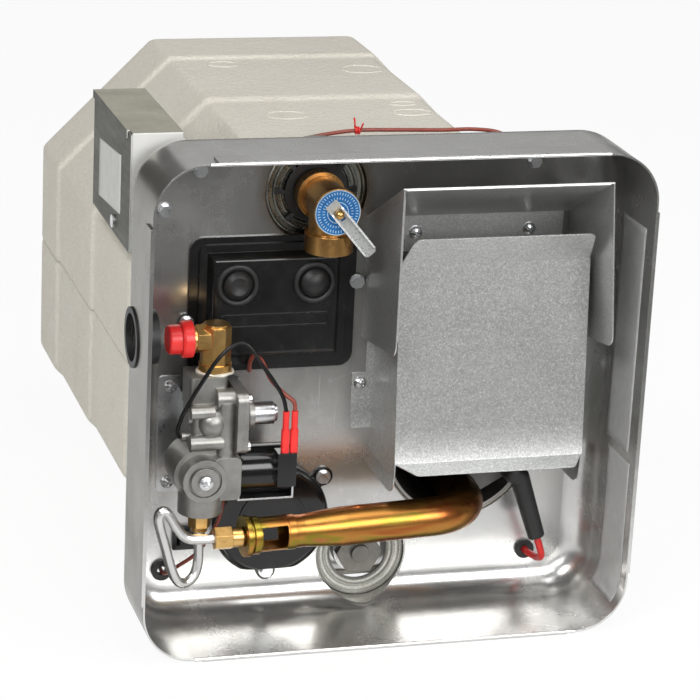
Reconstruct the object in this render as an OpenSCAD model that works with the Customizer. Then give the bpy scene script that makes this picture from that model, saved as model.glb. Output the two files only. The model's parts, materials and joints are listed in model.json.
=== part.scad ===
// Caravan water heater: control housing with its burner controls, tank and foam jacket.
// Millimetres, +Z up. Origin under the middle of the unit, open front of the housing towards -Y.
// Most modules work in the wall frame: y = 0 on the inner face of the housing's back wall.

/* [Overall] */
// depth from the housing rim to the back of the jacket
unit_depth = 411; // [405:1:440]
// radial gap between a pin and its hole, running parts
run_gap = 0.08; // [0.05:0.01:0.1]
// gap between pieces that are put together and stay
fit_gap = 0.2; // [0.15:0.05:0.3]

/* [Housing] */
// width over the hems
pan_w = 322; // [320:1:330]
// height over the hems
pan_h = 322; // [320:1:330]
// depth of the drawn pan
pan_depth = 76; // [74:1:80]
// radius of the four corners
pan_corner_r = 33; // [30:1:36]
// radius between the walls and the back
pan_fillet_r = 20; // [16:1:22]
// sheet thickness of the housing
sheet_t = 1.2; // [1:0.1:1.6]
// width of the folded hem
hem_w = 14; // [10:1:18]
// length left free at each end of a hem
hem_end = 7; // [4:1:12]
// depth of the drawn collars behind the back wall
collar_d = 9; // [8:0.5:11]
// width of the collar's inner lip
collar_lip = 4; // [3:0.5:5]
// radius of a housing screw hole
screw_hole_r = 2.1; // [2.05:0.05:2.4]

/* [Jacket] */
// how much smaller the jacket is than the housing is high
foam_inset = 16; // [14:1:18]
// chamfer of its long corners
foam_chamfer = 78; // [70:1:80]
// radius of its front edge
foam_front_r = 35; // [30:1:38]
// radius of its back edge
foam_back_r = 14; // [8:1:20]
// height of each step between the foam rings
foam_step = 2.2; // [1.5:0.1:2.6]
// offset of the rings on the chamfers from those on the flats
foam_jog = 0.5; // [0.2:0.1:2]
// first step, behind the back wall
ring_1 = 45; // [42:1:50]
// second step
ring_2 = 154; // [140:1:165]
// third step
ring_3 = 267; // [255:1:280]
// height of the parting plane
foam_split = 158; // [156.5:0.5:160]
// foam in front of the tank
foam_front_t = 16; // [15:0.5:18]
// foam behind the tank
foam_back_t = 22; // [18:1:26]

/* [Tank] */
// foam over the tank where it is thinnest
tank_cover = 10.5; // [10:0.5:13]
// rise of the tank axis over the middle of the jacket
tank_rise = 2; // [1:0.5:3]
// wall thickness
tank_t = 2.5; // [2:0.1:3]
// knuckle radius of the heads
tank_knuckle_r = 10; // [8:1:12]
// outer radius of the welded spuds
spud_r = 16; // [15.5:0.5:16.5]
// bore radius of the water connections
water_bore_r = 9.3; // [8.5:0.1:10]
// outer radius of the water connections
water_spud_r = 14; // [13:0.5:15]
// position of the water connections across
water_x = -60; // [-70:1:-50]
// height of the hot outlet over the tank axis
hot_rise = 90; // [80:1:95]
// depth of the cold inlet under the tank axis
cold_fall = 93; // [80:1:95]
// combustion chamber across
burn_x = 65; // [62:1:66]
// combustion chamber height
burn_z = 106; // [104:1:107]
// radius of the hole in the housing for the chamber
burn_hole_r = 50; // [49:0.5:52]
// outer radius of the combustion chamber
burn_tube_r = 48.5; // [47:0.5:48.8]
// distance of the flue outlet under the back edge of the hood
flue_drop = 49; // [46:1:52]
// outer radius of the flue outlet leg
flue_leg_r = 31; // [29:0.5:32]
// wall of the flue tube
flue_t = 2; // [1.5:0.1:2.5]
// water space between the flue bend and the rear head
flue_rear = 22.5; // [18:0.5:30]
// length of the narrowing cone
burn_cone = 40; // [35:1:45]

/* [Relief valve] */
// valve axis across
tp_x = -39; // [-40:0.5:-38]
// distance of the valve axis under the top of the housing
tp_drop = 41; // [40:0.5:42]
// radius of the opening in the housing
tp_hole_r = 33; // [32:0.5:33.5]
// radius of the inlet thread
tp_thread_r = 10.6; // [10:0.1:11]
// barrel radius
tp_barrel_r = 13; // [12.5:0.1:13.5]
// wrench collar radius
tp_collar_r = 15.4; // [15:0.1:16]
// distance of the tag behind which the barrel ends, from the wall
tp_front = 47.8; // [46:0.1:49]
// radius of the bonnet under the tag
tp_bonnet_r = 14.9; // [14.5:0.1:15.2]
// depth of the bonnet
tp_bonnet_d = 5; // [4:0.5:6]
// distance of the outlet axis from the wall
tp_out_y = 31; // [30:0.5:31.5]
// outer radius of the outlet
tp_out_r = 15.2; // [14.8:0.1:15.4]
// bore radius of the outlet
tp_bore_r = 12; // [11.6:0.1:12.4]
// depth of the outlet bore
tp_bore_d = 16; // [14:1:17]
// length of the outlet below the valve axis
tp_out_len = 29; // [28:0.5:30]
// tag radius
tag_r = 14.3; // [13.8:0.1:14.5]
// tag thickness
tag_t = 0.6; // [0.4:0.1:0.8]
// lever direction below level
lever_tilt = 50; // [45:1:55]
// lever length from the heel
lever_len = 43; // [38:1:46]
// distance from heel to stem
lever_heel = 8; // [7.5:0.1:8.5]
// lever width
lever_w = 8.8; // [8.7:0.1:9.2]
// lever sheet
lever_t = 1.2; // [1:0.1:1.4]
// height of the lever's side flanges
lever_flange = 4; // [3:0.1:4.5]
// gap under the lever
lever_gap = 0.25; // [0.2:0.05:0.3]
// slot width in the lever
lever_slot = 3.4; // [3.2:0.1:3.6]
// stem radius
stem_r = 1.3; // [1.2:0.05:1.4]
// ball head radius
ball_r = 3; // [2.9:0.05:3.1]

/* [Reset cover] */
// middle of the cover across
cover_x = -65.7; // [-66:0.1:-65]
// distance of the cover under the relief valve axis
cover_fall = 71; // [70:0.5:72]
// flange width
cover_w = 108; // [106:0.5:109]
// flange height
cover_h = 88; // [86:0.5:89]
// flange corner radius
cover_r = 9; // [6:0.5:10]
// flange thickness
cover_t = 2; // [1.8:0.1:2.4]
// width of the raised box at its foot
box_w = 89; // [88:0.5:90]
// height of the raised box at its foot
box_h = 72; // [71:0.5:73]
// how far the box stands out
box_d = 10; // [9:0.1:11]
// draft of the box sides
box_draft = 4.5; // [3:0.1:5]
// rounding of the box front
box_round = 3; // [2:0.1:4]
// left button across
button_left_x = -90.5; // [-92:0.5:-89]
// right button across
button_right_x = -41; // [-42:0.5:-40]
// height of both buttons
button_z = 225; // [224:0.5:226]
// button radius
button_r = 9; // [8.6:0.1:9.2]
// button travel
button_travel = 3; // [2:0.1:3]
// radius of the rim round a button
rim_r = 11.9; // [11.8:0.1:12.2]
// thickness of the rim
rim_t = 4.2; // [3.8:0.1:4.4]

/* [Flue] */
// left side of the flue box
flue_x0 = 3.5; // [3:0.1:4]
// gap between the flue box and the right side of the housing
flue_gap = 32; // [31.6:0.1:33]
// flue sheet
flue_sheet = 0.8; // [0.6:0.1:1]
// lower fold of the deflector plate: distance from the wall
fold_low_y = 55.8; // [54:0.1:57]
// lower fold of the deflector plate: height
fold_low_z = 117; // [116:0.5:118]
// upper fold: distance from the wall
fold_high_y = 44.8; // [43:0.1:46]
// distance of the upper fold under the back edge of the hood
fold_drop = 19; // [17:0.5:21]
// width of the lower lip
lip_w = 12; // [10:0.5:13]
// fall of the lower lip
lip_fall = 20; // [15:1:24]
// width of the upper lip
crest_w = 27; // [24:0.5:28]
// lean of the upper lip from level
crest_rise = 51; // [47:1:55]
// bottom of the box sides
flue_low_z = 95; // [94.5:0.1:97]
// left side of the hood
hood_x0 = -5.5; // [-6:0.1:-5]
// gap between the hood and the right side of the housing
hood_gap = 30.5; // [30:0.1:30.8]
// front edge of the hood from the wall
hood_y = 72.8; // [71:0.1:73.5]
// distance of the hood's front edge under the top of the housing
hood_drop = 20; // [18:0.5:22]
// fall of the hood towards the wall
hood_fall = 38; // [36:0.5:40]
// height of the hood sides at the front
hood_side_front = 108; // [106:0.5:110]
// height of the hood sides at the wall
hood_side_back = 80; // [78:0.5:82]
// outward lean of the right side
hood_flare = 4.5; // [2:0.5:5]

/* [Gas train] */
// gas inlet axis from the left side of the housing
valve_in = 52; // [51:0.5:52.5]
// inlet axis from the wall
valve_y = 33; // [32:0.5:34]
// body width
body_w = 30; // [29:0.5:31]
// body depth
body_d = 32; // [31:0.5:33]
// bottom of the body
body_z0 = 100; // [99:0.5:101]
// top of the body
body_z1 = 160; // [158:0.5:162]
// top of the inlet neck
neck_z = 177; // [176:0.5:178]
// front boss, left of the inlet axis
boss_dx = 11; // [10.5:0.1:11.5]
// front boss height
boss_z = 115.5; // [115:0.1:116]
// front boss radius
boss_r = 14; // [13.5:0.1:14.5]
// front face of the boss from the wall
boss_y = 62.5; // [61:0.5:64]
// radius of the plug in the boss
plug_r = 9; // [8.5:0.1:9.5]
// outlet, left of the inlet axis
outlet_dx = 10.5; // [10:0.1:11]
// outlet axis from the wall
outlet_y = 48; // [47.5:0.1:48.5]
// outlet boss radius
outlet_r = 14; // [13:0.1:14.5]
// lower face of the outlet collar
outlet_z = 91; // [90.5:0.1:91.5]
// width of the diaphragm flange
dia_w = 42; // [40:0.5:43]
// height of the diaphragm flange
dia_h = 40; // [38:0.5:41]
// coil radius
coil_r = 15.5; // [15:0.1:15.8]
// coil length
coil_len = 33.5; // [32:0.5:34]
// coil axis height
coil_z = 113.5; // [113:0.1:114]
// inlet elbow barrel radius
elbow_r = 9.7; // [9.3:0.1:10]
// height of the inlet arm
elbow_z = 199; // [198.5:0.1:199.5]
// radius of the inlet thread
flare_r = 7.6; // [7.4:0.1:7.8]
// supply tube radius
pipe_r = 3.2; // [3:0.1:3.4]
// height of the burner axis
burner_z = 77; // [76.6:0.1:77.2]
// burner tube radius
burner_r = 12.5; // [12:0.1:12.6]
// burner tube wall
burner_t = 1; // [0.8:0.1:1.2]
// start of the burner's mouth
cage_x = 30; // [29:0.5:31]
// mouth radius
mouth_r = 10.6; // [10.4:0.1:11]
// place of the throat
throat_x = 39; // [37:1:42]
// throat radius
throat_r = 10.4; // [10.2:0.1:10.6]
// where the tube is round again
neck_x = 66; // [60:1:72]
// start of the pressed pleat
crease_x0 = 42; // [40:1:46]
// end of the pressed pleat
crease_x1 = 112; // [106:1:118]
// pleat radius at its ends
crease_r = 1.2; // [1:0.1:1.5]
// swell of the pleat
crease_swell = 1.6; // [1:0.1:2]
// pleat axis over the burner axis at its ends
crease_z = 9.9; // [9.5:0.1:10.2]
// burner start, right of the inlet axis
burner_dx = 14.5; // [14:0.1:15]
// burner start from the wall
burner_y = 60.5; // [60:0.1:61]
// turn of the burner towards the back
burner_turn = 5.5; // [5:0.1:6]
// end of the burner, left of the chamber axis
burner_short = 1.5; // [1:0.1:2]
// bend radius of the burner
burner_bend = 34; // [33:0.5:35]
// burner length after the bend
burner_tail = 90; // [80:1:100]

/* [Lower fittings] */
// element axis across
elem_x = -63; // [-63.5:0.1:-62.5]
// element axis height
elem_z = 66; // [65.5:0.1:66.5]
// element cover radius
elem_cover_r = 38.5; // [38:0.1:39]
// element cover depth
elem_cover_d = 13; // [12:0.5:13.5]
// height of the flat under the element cover
elem_flat_z = 33; // [32.5:0.1:34]
// element thread radius
elem_thread_r = 13; // [12.5:0.1:13.4]
// element sheath radius
sheath_r = 4.2; // [4:0.1:4.5]
// drain axis across
drain_x = 1.5; // [1:0.1:2]
// drain axis height
drain_z = 33.5; // [33.5:0.1:34.5]
// radius of the drain opening
drain_hole_r = 30; // [29:0.1:30.4]
// drain thread radius
drain_thread_r = 12.8; // [12:0.1:13]
// drain plug across flats
drain_hex = 27; // [26:0.5:28]
// anode rod radius
anode_r = 8.5; // [8:0.1:9.5]
// igniter across
igniter_x = 94; // [93.5:0.1:94.5]
// igniter height
igniter_z = 95; // [94.5:0.1:95.5]
// igniter ceramic radius
ceramic_r = 4; // [3.6:0.1:4.2]
// boot radius at the top
boot_r = 6.6; // [6.4:0.1:7]
// ignition lead radius
lead_r = 2.4; // [2.2:0.1:2.5]
// wire radius
wire_r = 1.3; // [1.1:0.1:1.4]
// rocker switch, left of the heating element
rocker_off = 52; // [51.5:0.5:53]
// rocker switch height
rocker_z = 54; // [53.5:0.5:54.5]
// rocker radius about its pivot
rocker_r = 7.2; // [7:0.1:7.4]
// rocker width
rocker_w = 10; // [9.6:0.1:10.2]
// rocker tilt each way
rocker_tilt = 8; // [6:0.5:9]
// gas line grommet from the wall
gas_y = 25; // [24.5:0.5:25.5]
// gas line grommet height
gas_z = 199; // [198:0.5:200]
// gas line grommet radius
gas_r = 19; // [18:0.5:19.5]
// gas line hole radius
gas_hole_r = 15; // [14:0.5:15.2]

/* [Junction box] */
// width
jbox_w = 32; // [31:0.5:33]
// length
jbox_len = 114; // [110:1:118]
// height of the box
jbox_h = 75; // [73:0.5:76]
// distance of its top under the top of the housing
jbox_drop = 1; // [0.5:0.5:2]
// outer side of the box from the left side of the housing
jbox_in = 4; // [3.6:0.1:4.5]
// sheet
jbox_t = 0.9; // [0.8:0.1:1.1]

/* [Hidden] */
$fn = 64;
over = 1;
slab = 0.02;
wall_y = pan_depth - sheet_t;
back_y = unit_depth - wall_y;
pan_in_w = pan_w - 2 * sheet_t;
pan_in_h = pan_h - 2 * sheet_t;
foam_size = pan_h - foam_inset;
foam_half = foam_size / 2;
tank_r = foam_half - tank_cover;
tank_z = foam_half + tank_rise;
hot_z = tank_z + hot_rise;
cold_z = tank_z - cold_fall;
tp_z = pan_h - tp_drop;
cover_z = tp_z - cover_fall;
hood_front_z = pan_h - hood_drop;
hood_back_z = hood_front_z - hood_fall;
hood_low_front = hood_front_z - hood_side_front;
hood_low_back = hood_back_z - hood_side_back;
hood_x1 = pan_w / 2 - hood_gap;
flue_x1 = pan_w / 2 - flue_gap;
flue_z = hood_back_z - flue_drop;
fold_high_z = hood_back_z - fold_drop;
valve_x = valve_in - pan_w / 2;
boss_x = valve_x - boss_dx;
outlet_x = valve_x - outlet_dx;
burner_x = valve_x + burner_dx;
rocker_x = elem_x - rocker_off;
jbox_z1 = pan_h - jbox_drop;
jbox_z0 = jbox_z1 - jbox_h;
jbox_x = pan_w / 2 - jbox_in;
jbox_hole = [40, jbox_z1 - 21];
foam_sum = foam_size - foam_chamfer;
tank_y0 = sheet_t + foam_front_t;
tank_y1 = back_y - foam_back_t;
spud_end = tank_y0 + 5;
tp_spud_y = 4;
drain_spud_y = 9;
elem_spud_y = 7;
seal_t = 2;
seal_y = collar_d - sheet_t - seal_t;
gasket_t = 2;
weld_gap = fit_gap;
flue_bend_r = (flue_z - burn_z) / 2;
flue_bend_y = tank_y1 - flue_rear - flue_leg_r - flue_bend_r;
burn_len = flue_bend_y - burn_cone - sheet_t;
tag_y = -tp_front - tag_t;
ball_y = tag_y - lever_gap - lever_t - 2.79;
heel = [tp_x - lever_heel * cos(lever_tilt), tp_z + lever_heel * sin(lever_tilt)];
cover_face = -box_d;
button_flange_r = button_r + 2;
button_back = -2.6;
button_flange_t = 1.2;
guide_back = button_back - button_flange_t - fit_gap;
pin_y = button_back + button_travel + 0.6;
plinth_d = 1.6;
plinth_w = 7;
frame_w = 70;
frame_h = 9;
frame_line = 1.2;
window_w = 82;
window_h = 46;
window_z = cover_z + 9;
plate_rise = atan2(fold_high_z - fold_low_z, fold_low_y - fold_high_y);
body_x0 = valve_x - 17;
body_x1 = body_x0 + body_w;
body_y0 = -valve_y - 1 - body_d / 2;
body_y1 = -valve_y - 1 + body_d / 2;
bracket_t = 1.2;
coil_y = -38;
frame_t = 1.2;
coil_x0 = body_x1 + frame_t;
coil_x1 = coil_x0 + coil_len;
crimp_x = [coil_x1 - 7.3, coil_x1 - 1.7];
term_z = 130;
pipe_bore = pipe_r + fit_gap;
jbox_x0 = -jbox_x;
jbox_x1 = -jbox_x + jbox_w;
jbox_y0 = sheet_t;
jbox_y1 = sheet_t + jbox_len;
hv_at = [pan_w / 2 - 46, 30];
lv_at = [29 - pan_w / 2, 32];
grommet_t = 1.5;
hex_af = 7;
clip_out = 1;
hex_screws_at = [[25 - pan_w / 2, pan_h - 50], [pan_w / 2 - 57, pan_h - 25], [47 - pan_w / 2, pan_h - 25]];
clip_screws_at = [[cover_x + cover_w / 2 + clip_out, cover_z + 12], [cover_x - cover_w / 2 - clip_out, cover_z - 11]];
elem_ears = [[36, 24.5], [0, -38.5], [-36, 24.5]];
tab_screws_at = [[-5, 153], [flue_x1 + 4.5, 153]];
hood_screws_at = [[flue_x1 - 26, hood_back_z - 11.5], [flue_x0 + 23.5, hood_back_z - 11.5]];
bracket_screws_at = [[valve_x - 20.5, 157], [valve_x - 21, 93]];
screw_r = screw_hole_r - fit_gap / 2;
head_r = 4.2;
head_h = 3;
burner_end_x = burn_x - burner_short;
burner_len = (burner_end_x - burner_x + burner_bend * sin(burner_turn)) / cos(burner_turn) - burner_bend;
dia_y = body_y1 - dia_w / 2;
dia_z = coil_z + coil_r + 1.5 + dia_h / 2;
dia_plate = 3;
dia_dome = 6;
dia_dome_r = 17;
dia_boss = 9.5;
dia_corner = 6;
dia_screws_at = [for (i = [-1, 1], j = [-1, 1]) [dia_y + i * (dia_w / 2 - 4.5), dia_z + j * (dia_h / 2 - 4.5)]];
boot_low = [hv_at[0] - 2, -27, 50];
boot_top = [igniter_x + 4.5, -27, 92];

// Routes, chosen by hand, in the wall frame
supply_route = [[outlet_x, -outlet_y, outlet_z - 4], [outlet_x, -outlet_y, 68], [outlet_x, -outlet_y, 57],
    [outlet_x - 2.5, -49, 48], [outlet_x - 8.5, -51, 44], [outlet_x - 14.5, -53, 47], [outlet_x - 19, -55, 57],
    [outlet_x - 23.5, -58, 72], [outlet_x - 28, -60, 87], [outlet_x - 29, -61, 94], [outlet_x - 26.5, -61, 97.5],
    [outlet_x - 22.5, -61, 94.5], [outlet_x - 17.5, -61, 86], [outlet_x - 11.5, -61, 79],
    [outlet_x - 3.5, -61, burner_z], [outlet_x + 5.5, -61, burner_z], [outlet_x + 12.5, -61, burner_z]];
lead_route = [boot_low, [hv_at[0] + 1.2, -27, 41], [hv_at[0] + 3, -25.5, 35], [hv_at[0] + 3.2, -20, 31],
    [hv_at[0] + 2, -13, 30], [hv_at[0], -6, hv_at[1]], [hv_at[0], 4, hv_at[1]]];
black_route = [[valve_x - 22.5, body_y0 + 10, 138], [valve_x - 23.6, body_y0 + 10, 138],
    [valve_x - 24.6, -41.5, 141.5], [valve_x - 24, -43, 147], [valve_x - 22, -45.5, 155],
    [valve_x - 17.5, -48, 165.5], [valve_x - 11.5, -50, 177], [valve_x - 4, -51, 189.5], [valve_x + 3.5, -51, 197.5],
    [valve_x + 11, -51, 201], [valve_x + 17, -52.5, 198.5], [valve_x + 24, -54.5, 188], [valve_x + 33, -56, 175],
    [valve_x + 38, -56.5, 166], [crimp_x[0], -56.5, 157]];
brown_route = [[valve_x + 29, -6.5, 173.5], [valve_x + 28.5, -9, 169], [valve_x + 26, -17, 171],
    [valve_x + 23.5, -28, 180], [valve_x + 24, -36, 187], [valve_x + 27, -44, 186], [valve_x + 31.5, -50, 176],
    [valve_x + 39, -54.5, 168], [valve_x + 45, -56.5, 163], [crimp_x[1], -56.5, 157]];
switch_route = [[lv_at[0], 4, lv_at[1]], [lv_at[0], -5, lv_at[1]], [lv_at[0] + 2, -10, 34],
    [lv_at[0] + 9, -15, 41], [lv_at[0] + 17, -18, 48], [lv_at[0] + 24.5, -21, 59], [valve_x + 7, -24, 72],
    [valve_x + 9.5, -26, 86], [valve_x + 9.5, -26.5, body_z0]];
top_route = [[jbox_x1 + 2, jbox_hole[0], jbox_hole[1]], [jbox_x1 + 13, 38, jbox_hole[1] + 0.5],
    [58 - foam_half, 32, foam_size - 4.5], [78 - foam_half, 27, foam_size - 3], [101 - foam_half, 27, foam_size],
    [125 - foam_half, 30, foam_size + 3.5], [-5, 33, foam_size + 5], [20, 32, foam_size + 5], [48, 27, foam_size + 5.5],
    [70, 23, foam_size + 6.5], [86, 18, foam_size + 5], [97, 13, foam_size - 2], [102, 10, foam_size - 12],
    [104, 6.5, foam_size - 21], [104, sheet_t + 1.8, foam_size - 27]];

function unit(v) = v / norm(v);
function spline(a, b, c, d, t) = 0.5 * (2 * b + (c - a) * t + (2 * a - 5 * b + 4 * c - d) * t * t
    + (3 * b - a - 3 * c + d) * t * t * t);
function smooth(p, n) = concat([for (i = [0:len(p) - 2]) for (k = [0:n - 1])
    spline(p[max(i - 1, 0)], p[i], p[i + 1], p[min(i + 2, len(p) - 1)], k / n)], [p[len(p) - 1]]);
function heading(p, i) = unit(p[min(i + 1, len(p) - 1)] - p[max(i - 1, 0)]);
function side(t) = unit(cross(t, abs(t[2]) < 0.9 ? [0, 0, 1] : [1, 0, 0]));
function sides(p, i, u) = i == len(p) ? [] : let (t = heading(p, i), v = i == 0 ? side(t) : unit(u - (u * t) * t))
    concat([v], sides(p, i + 1, v));
function arc(c, a, b, n) = let (w = 180 - acos(max(-1, min(1, -(a * b) / norm(a) / norm(b)))))
    [for (k = [0:n]) c + (sin((1 - k / n) * w) * a + sin(k / n * w) * b) / sin(w)];
function eased(p, r, n) = [for (i = [0:len(p) - 1])
    let (q = p[i], a = unit(p[(i + len(p) - 1) % len(p)] - q), b = unit(p[(i + 1) % len(p)] - q),
        w = acos(a * b), c = q + unit(a + b) * r[i] / sin(w / 2), d = r[i] / tan(w / 2))
    each r[i] == 0 ? [q] : arc(c, q + a * d - c, q + b * d - c, n)];

module wall_frame() {
    translate([0, wall_y - unit_depth / 2, 0]) children();
}

module rod_x(r, x0, x1, y, z) {
    translate([x0, y, z]) rotate([0, 90, 0]) cylinder(r = r, h = x1 - x0);
}

module rod_y(r, y0, y1, x, z) {
    translate([x, y1, z]) rotate([90, 0, 0]) cylinder(r = r, h = y1 - y0);
}

module rod_z(r, z0, z1, x, y) {
    translate([x, y, z0]) cylinder(r = r, h = z1 - z0);
}

module rod(a, b, r0, r1) {
    d = b - a;
    translate(a) rotate([0, acos(d[2] / norm(d)), atan2(d[1], d[0])]) cylinder(r1 = r0, r2 = r1, h = norm(d));
}

module block(a, b) {
    translate(a) cube(b - a);
}

module along_y(y0, y1) {
    translate([0, y1, 0]) rotate([90, 0, 0]) linear_extrude(y1 - y0) children();
}

module along_x(x0, x1) {
    translate([x0, 0, 0]) rotate([90, 0, 90]) linear_extrude(x1 - x0) children();
}

module turn_y(x, z) {
    translate([x, 0, z]) rotate([-90, 0, 0]) rotate_extrude() children();
}

module turn_x(y, z) {
    translate([0, y, z]) rotate([0, 90, 0]) rotate_extrude() children();
}

module band(r0, r1, y0, y1) {
    translate([r0, y0]) square([r1 - r0, y1 - y0]);
}

module rounded(w, h, r) {
    square([w - 2 * r, h], center = true);
    square([w, h - 2 * r], center = true);
    for (i = [-1, 1], j = [-1, 1]) translate([i * (w / 2 - r), j * (h / 2 - r)]) circle(r);
}

module hex(af, h) {
    cylinder(r = af / sqrt(3), h = h, $fn = 6);
}

// a sheet panel from p to q in the side view, drawn in (x, distance from p)
module panel(p, q, t) {
    translate([0, p[0], p[1]]) rotate([atan2(q[1] - p[1], q[0] - p[0]), 0, 0])
        translate([0, 0, -t / 2]) linear_extrude(t) children();
}

// one cord as a closed mesh along a smoothed route
module cord(route, r, n, s) {
    p = smooth(route, n);
    u = sides(p, 0, [0, 0, 1]);
    m = len(p);
    v = [for (i = [0:m - 1]) let (t = heading(p, i), w = cross(t, u[i])) for (k = [0:s - 1])
        p[i] + r * (cos(k * 360 / s) * u[i] + sin(k * 360 / s) * w)];
    f = [for (i = [0:m - 2], k = [0:s - 1], h = [0, 1]) let (a = i * s + k, b = i * s + (k + 1) % s)
        h == 0 ? [a, a + s, b] : [b, a + s, b + s]];
    ends = concat([for (k = [1:s - 2]) [0, k, k + 1]],
        [for (k = [1:s - 2]) [(m - 1) * s, (m - 1) * s + k + 1, (m - 1) * s + k]]);
    polyhedron(points = v, faces = concat(f, ends));
}

// wall of the pan from the rim round to the flat back, in (distance from the corner axis, depth)
module pan_wall() {
    c = [pan_corner_r - pan_fillet_r, pan_depth - pan_fillet_r];
    band(pan_corner_r - sheet_t, pan_corner_r, 0, c[1]);
    translate(c) intersection() {
        difference() {
            circle(pan_fillet_r);
            circle(pan_fillet_r - sheet_t);
        }
        square(pan_fillet_r);
    }
}

module pan_shell() {
    w = pan_in_w / 2 - pan_corner_r;
    h = pan_in_h / 2 - pan_corner_r;
    for (i = [0, 1]) mirror([i, 0, 0]) translate([w, 0, -h]) linear_extrude(2 * h) pan_wall();
    for (i = [0, 1]) mirror([0, 0, i]) translate([-w, 0, h]) rotate([0, -90, 180]) linear_extrude(2 * w)
        mirror([0, 1]) pan_wall();
    for (i = [0, 1], j = [0, 1]) mirror([i, 0, 0]) mirror([0, 0, j]) translate([w, 0, h]) rotate([-90, 0, 0])
        rotate_extrude(angle = -90) pan_wall();
}

module hole_2d(r, at) {
    for (p = at) translate(p) circle(r);
}

module pan_back() {
    difference() {
        translate([0, pan_h / 2]) rounded(pan_in_w - 2 * pan_fillet_r, pan_in_h - 2 * pan_fillet_r,
            pan_corner_r - pan_fillet_r);
        hole_2d(burn_hole_r, [[burn_x, burn_z]]);
        hole_2d(flue_leg_r - flue_t, [[burn_x, flue_z]]);
        hole_2d(elem_thread_r + 9, [[elem_x, elem_z]]);
        translate([cover_x, window_z]) square([window_w, window_h], center = true);
        hole_2d(lead_r + grommet_t + fit_gap, [hv_at]);
        hole_2d(wire_r + 2 * grommet_t + fit_gap, [lv_at]);
        translate([rocker_x, rocker_z]) square([2 * rocker_r + 3.6 + fit_gap, rocker_w + 3.4 + fit_gap], center = true);
        hole_2d(screw_hole_r, concat(hex_screws_at, clip_screws_at, tab_screws_at, hood_screws_at, bracket_screws_at));
        hole_2d(screw_hole_r, [for (p = elem_ears) [elem_x + p[0], elem_z + p[1]]]);
    }
}

module hems() {
    len_x = pan_w - 2 * pan_corner_r - 2 * hem_end;
    len_z = pan_h - 2 * pan_corner_r - 2 * hem_end;
    translate([-len_x / 2, -wall_y, 0]) cube([len_x, hem_w, 2 * sheet_t]);
    translate([-len_x / 2, -wall_y, pan_h - 2 * sheet_t]) cube([len_x, hem_w, 2 * sheet_t]);
    translate([-pan_w / 2, -wall_y, (pan_h - len_z) / 2]) cube([2 * sheet_t, hem_w, len_z]);
    translate([pan_w / 2 - 2 * sheet_t, -wall_y, (pan_h - len_z) / 2]) cube([2 * sheet_t, hem_w, len_z]);
}

module collar(x, z, r) {
    intersection() {
        difference() {
            rod_y(r + sheet_t, -pan_fillet_r, collar_d, x, z);
            rod_y(r, -pan_fillet_r - over, collar_d - sheet_t, x, z);
            rod_y(r - collar_lip, 0, collar_d + over, x, z);
        }
        union() {
            block([-pan_w, sheet_t / 2, 0], [pan_w, pan_depth, pan_h]);
            for (i = [0, 1]) translate([0, 0, pan_h / 2]) mirror([0, 0, i])
                translate([-pan_w / 2, -pan_fillet_r + sheet_t, pan_in_h / 2 - pan_fillet_r]) difference() {
                    cube([pan_w, pan_fillet_r, pan_fillet_r]);
                    rod_x(pan_fillet_r - sheet_t / 2, -over, pan_w + over, 0, 0);
                }
        }
    }
}

module control_housing() {
    color("silver") wall_frame() {
        difference() {
            union() {
                translate([0, -wall_y, pan_h / 2]) pan_shell();
                along_y(0, sheet_t) pan_back();
                hems();
            }
            rod_y(tp_hole_r + sheet_t / 2, -pan_fillet_r - over, sheet_t + over, tp_x, tp_z);
            rod_y(drain_hole_r + sheet_t / 2, -pan_fillet_r - over, sheet_t + over, drain_x, drain_z);
            rod_x(gas_hole_r + 1 + fit_gap, -pan_w, -pan_in_w / 2 + sheet_t + over, -gas_y, gas_z);
        }
        collar(tp_x, tp_z, tp_hole_r);
        collar(drain_x, drain_z, drain_hole_r);
    }
}

// half width of the jacket against depth, with its steps and rounded ends
module foam_profile(h, jog) {
    a = h - 3 * foam_step;
    front = sheet_t - jog;
    rear = back_y + jog;
    r1 = ring_1 + jog;
    r2 = ring_2 + jog;
    r3 = ring_3 + jog;
    translate([-a, front + foam_front_r]) square([2 * a, r1 - front - foam_front_r]);
    translate([foam_front_r - a, front]) square([2 * (a - foam_front_r), r1 - front]);
    for (i = [-1, 1]) translate([i * (a - foam_front_r), front + foam_front_r]) circle(foam_front_r);
    translate([2 * foam_step - h, r1]) square([2 * h - 4 * foam_step, r2 - r1]);
    translate([foam_step - h, r2]) square([2 * h - 2 * foam_step, r3 - r2]);
    translate([-h, r3]) square([2 * h, rear - foam_back_r - r3]);
    translate([foam_back_r - h, r3]) square([2 * (h - foam_back_r), rear - r3]);
    for (i = [-1, 1]) translate([i * (h - foam_back_r), rear - foam_back_r]) circle(foam_back_r);
}

module foam_prism(a, h, jog) {
    rotate([0, a, 0]) linear_extrude(2 * foam_size, center = true) foam_profile(h, jog);
}

module foam_block() {
    translate([0, 0, foam_half]) intersection() {
        foam_prism(0, foam_half, 0);
        foam_prism(90, foam_half, 0);
        foam_prism(45, foam_sum / sqrt(2), foam_jog);
        foam_prism(-45, foam_sum / sqrt(2), foam_jog);
    }
}

module tank_outline(r, y0, y1, k) {
    band(0, r - k, y0, y1);
    band(0, r, y0 + k, y1 - k);
    translate([r - k, y0 + k]) circle(k);
    translate([r - k, y1 - k]) circle(k);
}

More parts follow.
